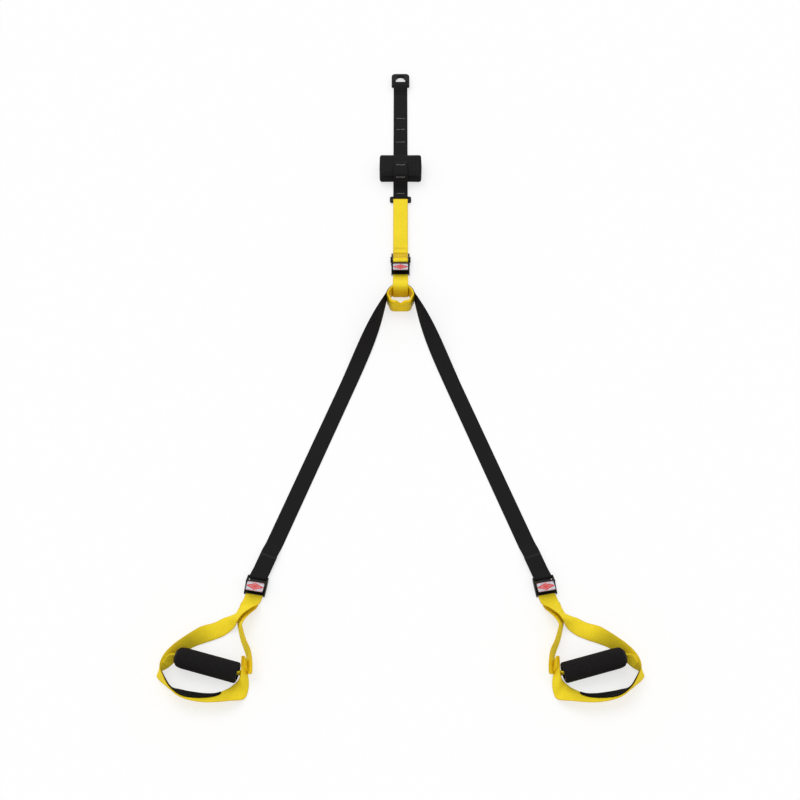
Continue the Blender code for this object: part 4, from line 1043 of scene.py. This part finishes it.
for side, word in sides:
    spot, way = leg_place(side)
    label, up = buckle_place(side)
    outward = Vector((side * math.cos(leg_turn), math.sin(leg_turn), 0))
    flat = Vector((side * up.y, -side * up.x, 0))
    lay_from = leg_len - leg_lay
    runs = [0, 0.006, 0.012, 0.02, 0.03] + [twist_len * k / 24 for k in range(3, 25)]
    runs += [twist_len + (lay_from - twist_len) * k / 12 for k in range(1, 13)]
    # each row is a place and the way that the width points
    rows = []
    for run in runs:
        left = min(1, max(0, 1 - (run - leg_start) / (twist_len - leg_start)))
        tilt = math.pi / 2 * left ** twist_power
        height = web_w / 2 * math.sin(tilt) + floor_z * math.cos(tilt) + (edge_z - web_w / 2) * left
        rows.append((Vector((spot.x, spot.y, height)) + way * run,
                     outward * math.cos(tilt) + Vector((0, 0, math.sin(tilt)))))
    end = label + up * bar_up
    enter = Vector((end.x, end.y, 0)) - way * (buckle_head - bar_up + 2 * web_t)
    begin = rows[-1][0]
    for k in range(1, fold_rows + 1):
        climb = min(1, k / fold_rows / climb_share)
        at = begin.lerp(enter, k / fold_rows)
        height = floor_z + (main_z - floor_z) * climb * climb * (3 - 2 * climb)
        rows.append((Vector((at.x, at.y, height)), outward))
    seam_run = list(zip(*rows[-fold_rows:]))
    rows += [(Vector((end.x, end.y, z)) + up * y, flat)
             for y, z in arc(0, bar_z, wrap_r, math.pi * 0.42, math.pi * 1.5, 16)]
    for share in hem_shares:
        at = enter.lerp(begin, share)
        rows.append((Vector((at.x, at.y, hem_z)), outward))
    leg = band("leg_webbing_" + word, list(zip(*rows)), web_w, web_t, black_web)
    fit(leg, "leg_" + word, "leg_strap_" + word)
    lead_y = enter.lerp(begin, seam_at).y
    seams = [bartack(seam_run, lead_y + step, seam_w, seam_tall, leg_proud, seam_pitch)
             for step in (seam_step, -seam_step)]
    sewn("leg_seams_" + word, seams, thread_t, black_thread, "leg_" + word)


# HANDLE STRAPS
# Yellow webbing out of each leg buckle.  It stands up on edge, turns outward to
# run down beside the grip, round the foot cradle and back up to a tab.
handle_w = 0.190
handle_len = 0.240
loop_steps = 6
tab_rows = 10
tail_share = 0.95
tab_short = 4
# shares of handle_w, handle_len and web_w, then the way and the rise of the width
loop_shares = (
    (-0.0421, -0.1349, 0.076, 170, 0), (-0.0581, -0.1679, 0.225, 170, -12),
    (-0.0821, -0.1979, 0.385, 168, -28), (-0.1151, -0.2339, 0.49, 163, -42),
    (-0.1561, -0.2709, 0.51, 152, -53), (-0.2121, -0.3039, 0.44, 148, -44),
    (-0.2611, -0.3269, 0.28, 148, -25), (-0.3011, -0.3509, 0.15, 147, -9), (-0.3461, -0.3759, 0.1, 145, 1),
    (-0.4011, -0.4039, 0.14, 139, 11), (-0.4911, -0.4389, 0.28, 129, 27), (-0.5811, -0.4769, 0.42, 118, 46),
    (-0.6711, -0.5179, 0.48, 111, 57), (-0.7461, -0.5589, 0.49, 113, 60), (-0.8281, -0.6139, 0.49, 124, 60),
    (-0.8961, -0.6759, 0.5, 140, 61), (-0.95, -0.74, 0.515, 160, 74), (-1.005, -0.808, 0.507, 192, 109),
    (-0.9764, -0.849, 0.5, 208, 107), (-0.927, -0.895, 0.51, 222, 97), (-0.875, -0.94, 0.51, 232, 88),
    (-0.785, -0.977, 0.48, 240, 66), (-0.699, -1.003, 0.445, 253, 55), (-0.6, -1.02, 0.425, 264, 50),
    (-0.4811, -1.0319, 0.42, 277, 48), (-0.3511, -1.0299, 0.42, 288, 46), (-0.235, -1.006, 0.34, 297, 33),
    (-0.153, -0.982, 0.2, 303, 13), (-0.107, -0.959, 0.16, 299, -7), (-0.061, -0.909, 0.38, 304, -43),
    (-0.053, -0.843, 0.475, 318, -63), (-0.064, -0.778, 0.5, 322, -72), (-0.0735, -0.71, 0.507, 328, -80),
    (-0.078, -0.665, 0.51, 334, -85))
inner_shares = (
    (-0.006, -0.825, 0.47, 325, 61), (-0.007, -0.79, 0.47, 325, 61), (-0.011, -0.735, 0.47, 326, 61),
    (-0.0236, -0.663, 0.475, 325, 61), (-0.0501, -0.598, 0.47, 329, 59), (-0.096, -0.518, 0.48, 325, 61),
    (-0.1341, -0.4209, 0.49, 321, 63), (-0.1491, -0.3709, 0.48, 318, 61), (-0.1361, -0.3129, 0.44, 330, 51),
    (-0.1061, -0.2509, 0.315, 343, 33), (-0.0781, -0.1939, 0.105, 350, 9), (-0.0641, -0.1559, 0.03, 350, 0))


def handle_spot(side, label, x, y, z):
    """A place in a handle, from shares of its width, its length and the webbing."""
    return Vector((label.x - side * x * handle_w, label.y + y * handle_len, z * web_w))


def loop_rows(shares, side, label):
    """A handle band's middle line and width directions from its shares."""
    centres = []
    across = []
    for x, y, z, heading, lift in smooth_rows(shares, loop_steps):
        a, b = math.radians(heading), math.radians(lift)
        centres.append(handle_spot(side, label, x, y, z))
        across.append(Vector((-side * math.cos(a) * math.cos(b), math.sin(a) * math.cos(b), math.sin(b))))
    return centres, across


def along_edge(line, first, last, aside, proud, stitch=0.0034, space=0.0012):
    """Running stitches beside an edge of a route, as short raised lines."""
    fine = 0.0006
    centres, across = line
    ahead = spans(centres)
    spots = [centres[k] + across[k] * aside[k - first] + ahead[k].cross(across[k]).normalized() * proud
             for k in range(first, last + 1)]
    out = []
    one = []
    run = 0
    for a, b in zip(spots, spots[1:]):
        steps = max(1, round((b - a).length / fine))
        for k in range(steps):
            run += (b - a).length / steps
            if run % (stitch + space) < stitch:
                one.append(a.lerp(b, k / steps))
            elif len(one) > 1:
                out.append(one)
                one = []
    return out


loops = {}
for side, word in sides:
    label, up = buckle_place(side)
    flat = Vector((side * up.y, -side * up.x, 0))
    centres, across = loop_rows(loop_shares, side, label)
    loops[word] = centres, across
    rows, wides = centres[:-tab_short], across[:-tab_short]
    tail = [Vector((label.x, label.y, running_z)) + up * run
            for run in (bar_up + wrap_r, 0, -buckle_foot * 0.98)]
    start_wide = -flat if flat.dot(across[0]) < 0 else flat
    line = tail + rows, [start_wide] * len(tail) + wides
    strap = band("handle_webbing_" + word, line, web_w, web_t, yellow_web,
                 shares=[tail_share] * 2 + [1] * (len(rows) + 1))
    fit(strap, "handle_" + word, "handle_strap_" + word)
    # the tab is built up of short plies towards the inner leg, sewn flush at its end
    out = facing(rows[-1] - rows[-2], wides[-1], Vector((-side, 0, 0)))
    for layer in (1, 2):
        end_rows = [spot + out * ply * layer for spot in rows[-tab_rows:]]
        short = band("tab_ply_%s_%d" % (word, layer), (end_rows, wides[-tab_rows:]), web_w, web_t, yellow_web)
        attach(short, "handle_" + word)


# INNER LEGS
# The other end of the same yellow webbing: it comes out from behind the handle
# strap and runs down to the tab at the near end of the grip.
foot_share = 0.5

for side, word in sides:
    label, up = buckle_place(side)
    line = loop_rows(inner_shares, side, label)
    narrow = [foot_share + (1 - foot_share) * math.sqrt(1 - max(0, 1 - k / loop_steps) ** 2)
              for k in range(len(line[0]))]
    leg = band("inner_webbing_" + word, line, web_w, web_t, yellow_web, shares=narrow)
    fit(leg, "handle_" + word, "inner_leg_" + word)


# CRADLE LININGS
# A strip of black neoprene-backed webbing inside the foot cradle, which narrows
# towards the tab, sewn along both edges so that the sole doesn't slip.
lining_w = 0.031
lining_t = 0.0016
lining_first, lining_last = 0.53, 0.773
lining_tip, lining_end, lining_power = 0.45, 0.16, 0.7
lining_lift = web_t / 2 + 4 * gap + lining_t / 2
stitch_in = 0.0028
stitch_share = 0.72
stitch_t = 0.0006
stitch_lift = lining_t / 2 + 0.0001
black_lining = nylon_webbing("black_lining_webbing", "121011", "090808", "191617", 0.75, 0.06)

for side, word in sides:
    label, up = buckle_place(side)
    centres, across = loops[word]
    first = round((len(centres) - 1) * lining_first)
    last = round((len(centres) - 1) * lining_last)
    ahead = spans(centres)
    middle = Vector((label.x + side * handle_w / 2, label.y - handle_len * 0.75, 0))
    line = []
    narrow = []
    for k in range(first, last + 1):
        face = facing(ahead[k], across[k], middle - centres[k])
        left = (last - k) / ((last - first) * lining_tip)
        share = lining_end + (1 - lining_end) * min(1, left) ** lining_power
        narrow.append(share)
        line.append(centres[k] - across[k] * (lining_w * (1 - share) / 2) + face * lining_lift)
    wides = across[first:last + 1]
    lining = band("cradle_lining_" + word + "_webbing", (line, wides), lining_w, lining_t, black_lining,
                  shares=narrow, tangents=ahead[first:last + 1])
    fit(lining, "handle_" + word, "cradle_lining_" + word)
    inward = 1 if ahead[first].cross(across[first]).dot(middle - centres[first]) > 0 else -1
    rows = []
    count = len(line) - 1
    for edge in (-1, 1):
        aside = [edge * (lining_w * share / 2 - stitch_in) for share in narrow]
        rows += along_edge((line, wides), 0, round(count * stitch_share), aside, inward * stitch_lift)
    sewn("lining_stitches_" + word, rows, stitch_t, black_thread, "handle_" + word)


# GRIP WEBBING
# A narrower piece of yellow webbing goes through the grip's tube.  It is folded
# against the outer run at one end and sewn to the tab at the other.
grip_web_w = 0.025
tube_r = 0.0160
tube_extra = 0.0016
grip_far = (-0.8141, -0.6779, 0.72)
grip_near = (-0.1365, -0.8204, 0.590)
grips = {}

for side, word in sides:
    label, up = buckle_place(side)
    centres, across = loops[word]
    far, near = [handle_spot(side, label, *shares) for shares in (grip_far, grip_near)]
    along = (near - far).normalized()
    grips[word] = far, near, along
    ahead = spans(centres)

    def against(share, drop):
        """A place on the grip's side of the loop, and its width direction."""
        k = min(len(centres) - 1, round((len(centres) - 1) * share))
        face = facing(ahead[k], across[k], (far + near) / 2 - centres[k])
        return centres[k] + face * (web_t + 3 * gap + drop), across[k] if across[k].z > 0 else -across[k]

    rise_way = (Vector((0, 0, 1)) - along * along.z).normalized()
    outer_rows = [against(0.4848, 0), against(0.4697, 0), against(0.4545, web_w * 0.05),
                  (far - along * (tube_extra + web_t), rise_way), (far + along * tube_r / 2, rise_way)]
    inner_rows = [(near - along * tube_r / 2, rise_way), (near + along * (tube_extra + web_t), rise_way),
                  against(0.9242, -web_t * 0.2)]
    fine = []
    for rows in (outer_rows, inner_rows):
        fine += smooth_rows([(*spot, *wide) for spot, wide in rows], 8)
    line = [Vector(row[:3]) for row in fine], [Vector(row[3:]).normalized() for row in fine]
    webbing = band("grip_webbing_" + word + "_narrow", line, grip_web_w, web_t, yellow_web)
    fit(webbing, "handle_" + word, "grip_webbing_" + word)


# GRIPS
# A sleeve of closed-cell NBR foam, 44 mm thick with rounded ends, pushed over a
# hard plastic tube that turns on the webbing.
def cell_foam(name, code, deep):
    """Closed-cell foam: dead matt, with open pores where the skin was ground off."""
    mat, tree, shader, place = finish_of(name)
    # pores of 0.4 to 0.8 mm, drawn at about 1.4 mm
    cells = add(tree, "ShaderNodeTexVoronoi", {"Scale": 1 / 0.0014, "Randomness": 1.0, "Vector": place})
    soft = add(tree, "ShaderNodeTexNoise", {"Scale": 1 / 0.009, "Detail": 3.0, "Vector": place})
    tone = add(tree, "ShaderNodeValToRGB", {"stops": ((0.1, linear(deep)), (0.5, linear(code))),
                                            "Fac": cells})
    shade = add(tree, "ShaderNodeMapRange", {**noise_range, "To Min": 0.88, "To Max": 1.1, "Value": soft})
    colour = add(tree, "ShaderNodeHueSaturation", {"Value": shade, "Color": tone})
    bump = add(tree, "ShaderNodeBump", {"Strength": 0.45, "Distance": 0.00025, "Height": cells})
    add(tree, shader, {"Base Color": colour, "Normal": bump, "Roughness": 0.92, "IOR": 1.45,
                       "Specular IOR Level": 0.12})
    return mat


def spun(profile, steps, place):
    """A closed (x, r) profile turned round the X axis and put in place."""
    bm = bmesh.new()
    turns = [2 * math.pi * k / steps for k in range(steps)]
    skin(bm, [[bm.verts.new((x, r * math.cos(a), r * math.sin(a))) for x, r in profile] for a in turns], True)
    bm.transform(place)
    return bm


foam_black = cell_foam("closed_cell_foam", "1C1A1B", "0D0C0C")
tube_black = moulded_nylon("moulded_black_tube", "242324", "1B1A1B")
grip_r = 0.022
grip_soft = 0.0045
far_soft = 0.017
end_grow = 0.0014
end_round = 0.0014
far_back = 0.0026
tube_wall = 0.0022
foam_lip = 0.001

for side, word in sides:
    far, near, along = grips[word]
    length = (near - far).length
    turn = Vector((1, 0, 0)).rotation_difference(along).to_matrix().to_4x4()
    place = Matrix.Translation((far + near) / 2) @ turn
    bore = tube_r + gap
    end = -length / 2
    profile = [(end + far_back, bore)]
    for k in range(11):
        a = math.pi / 2 * k / 10
        profile.append((end + far_back + far_soft * (1 - math.cos(a)),
                        grip_r - (grip_r - bore - foam_lip) * (1 - math.sin(a))))
    profile += [(end * (1 - k / 4), grip_r) for k in range(2, 7)]
    for k in range(9):
        a = math.pi / 2 * k / 8
        profile.append((end_grow - end - grip_soft * (1 - math.sin(a)),
                        grip_r - grip_soft * (1 - math.cos(a))))
    profile.append((end_grow - end, bore))
    foam = put("foam_sleeve_" + word, spun(profile, 72, place), foam_black, sharp=50)
    fit(foam, "grip_" + word, "grip_foam_" + word)
    half = length / 2 + tube_extra
    rim = tube_wall / 4
    # the far end is rounded
    profile = []
    for k in range(7):
        a = math.pi / 2 * k / 6
        profile.append((far_back - half - end_round * math.cos(a),
                        tube_r - tube_wall * (1 - math.sin(a)) + rim * (k == 0)))
    tube_bore = tube_r - tube_wall
    profile += [(half - rim, tube_r), (half, tube_r - rim), (half, tube_bore + rim), (half - rim, tube_bore),
                (-half, tube_bore)]
    tube = put("grip_core_" + word, spun(profile, 56, place), tube_black)
    fit(tube, "grip_" + word, "grip_tube_" + word)
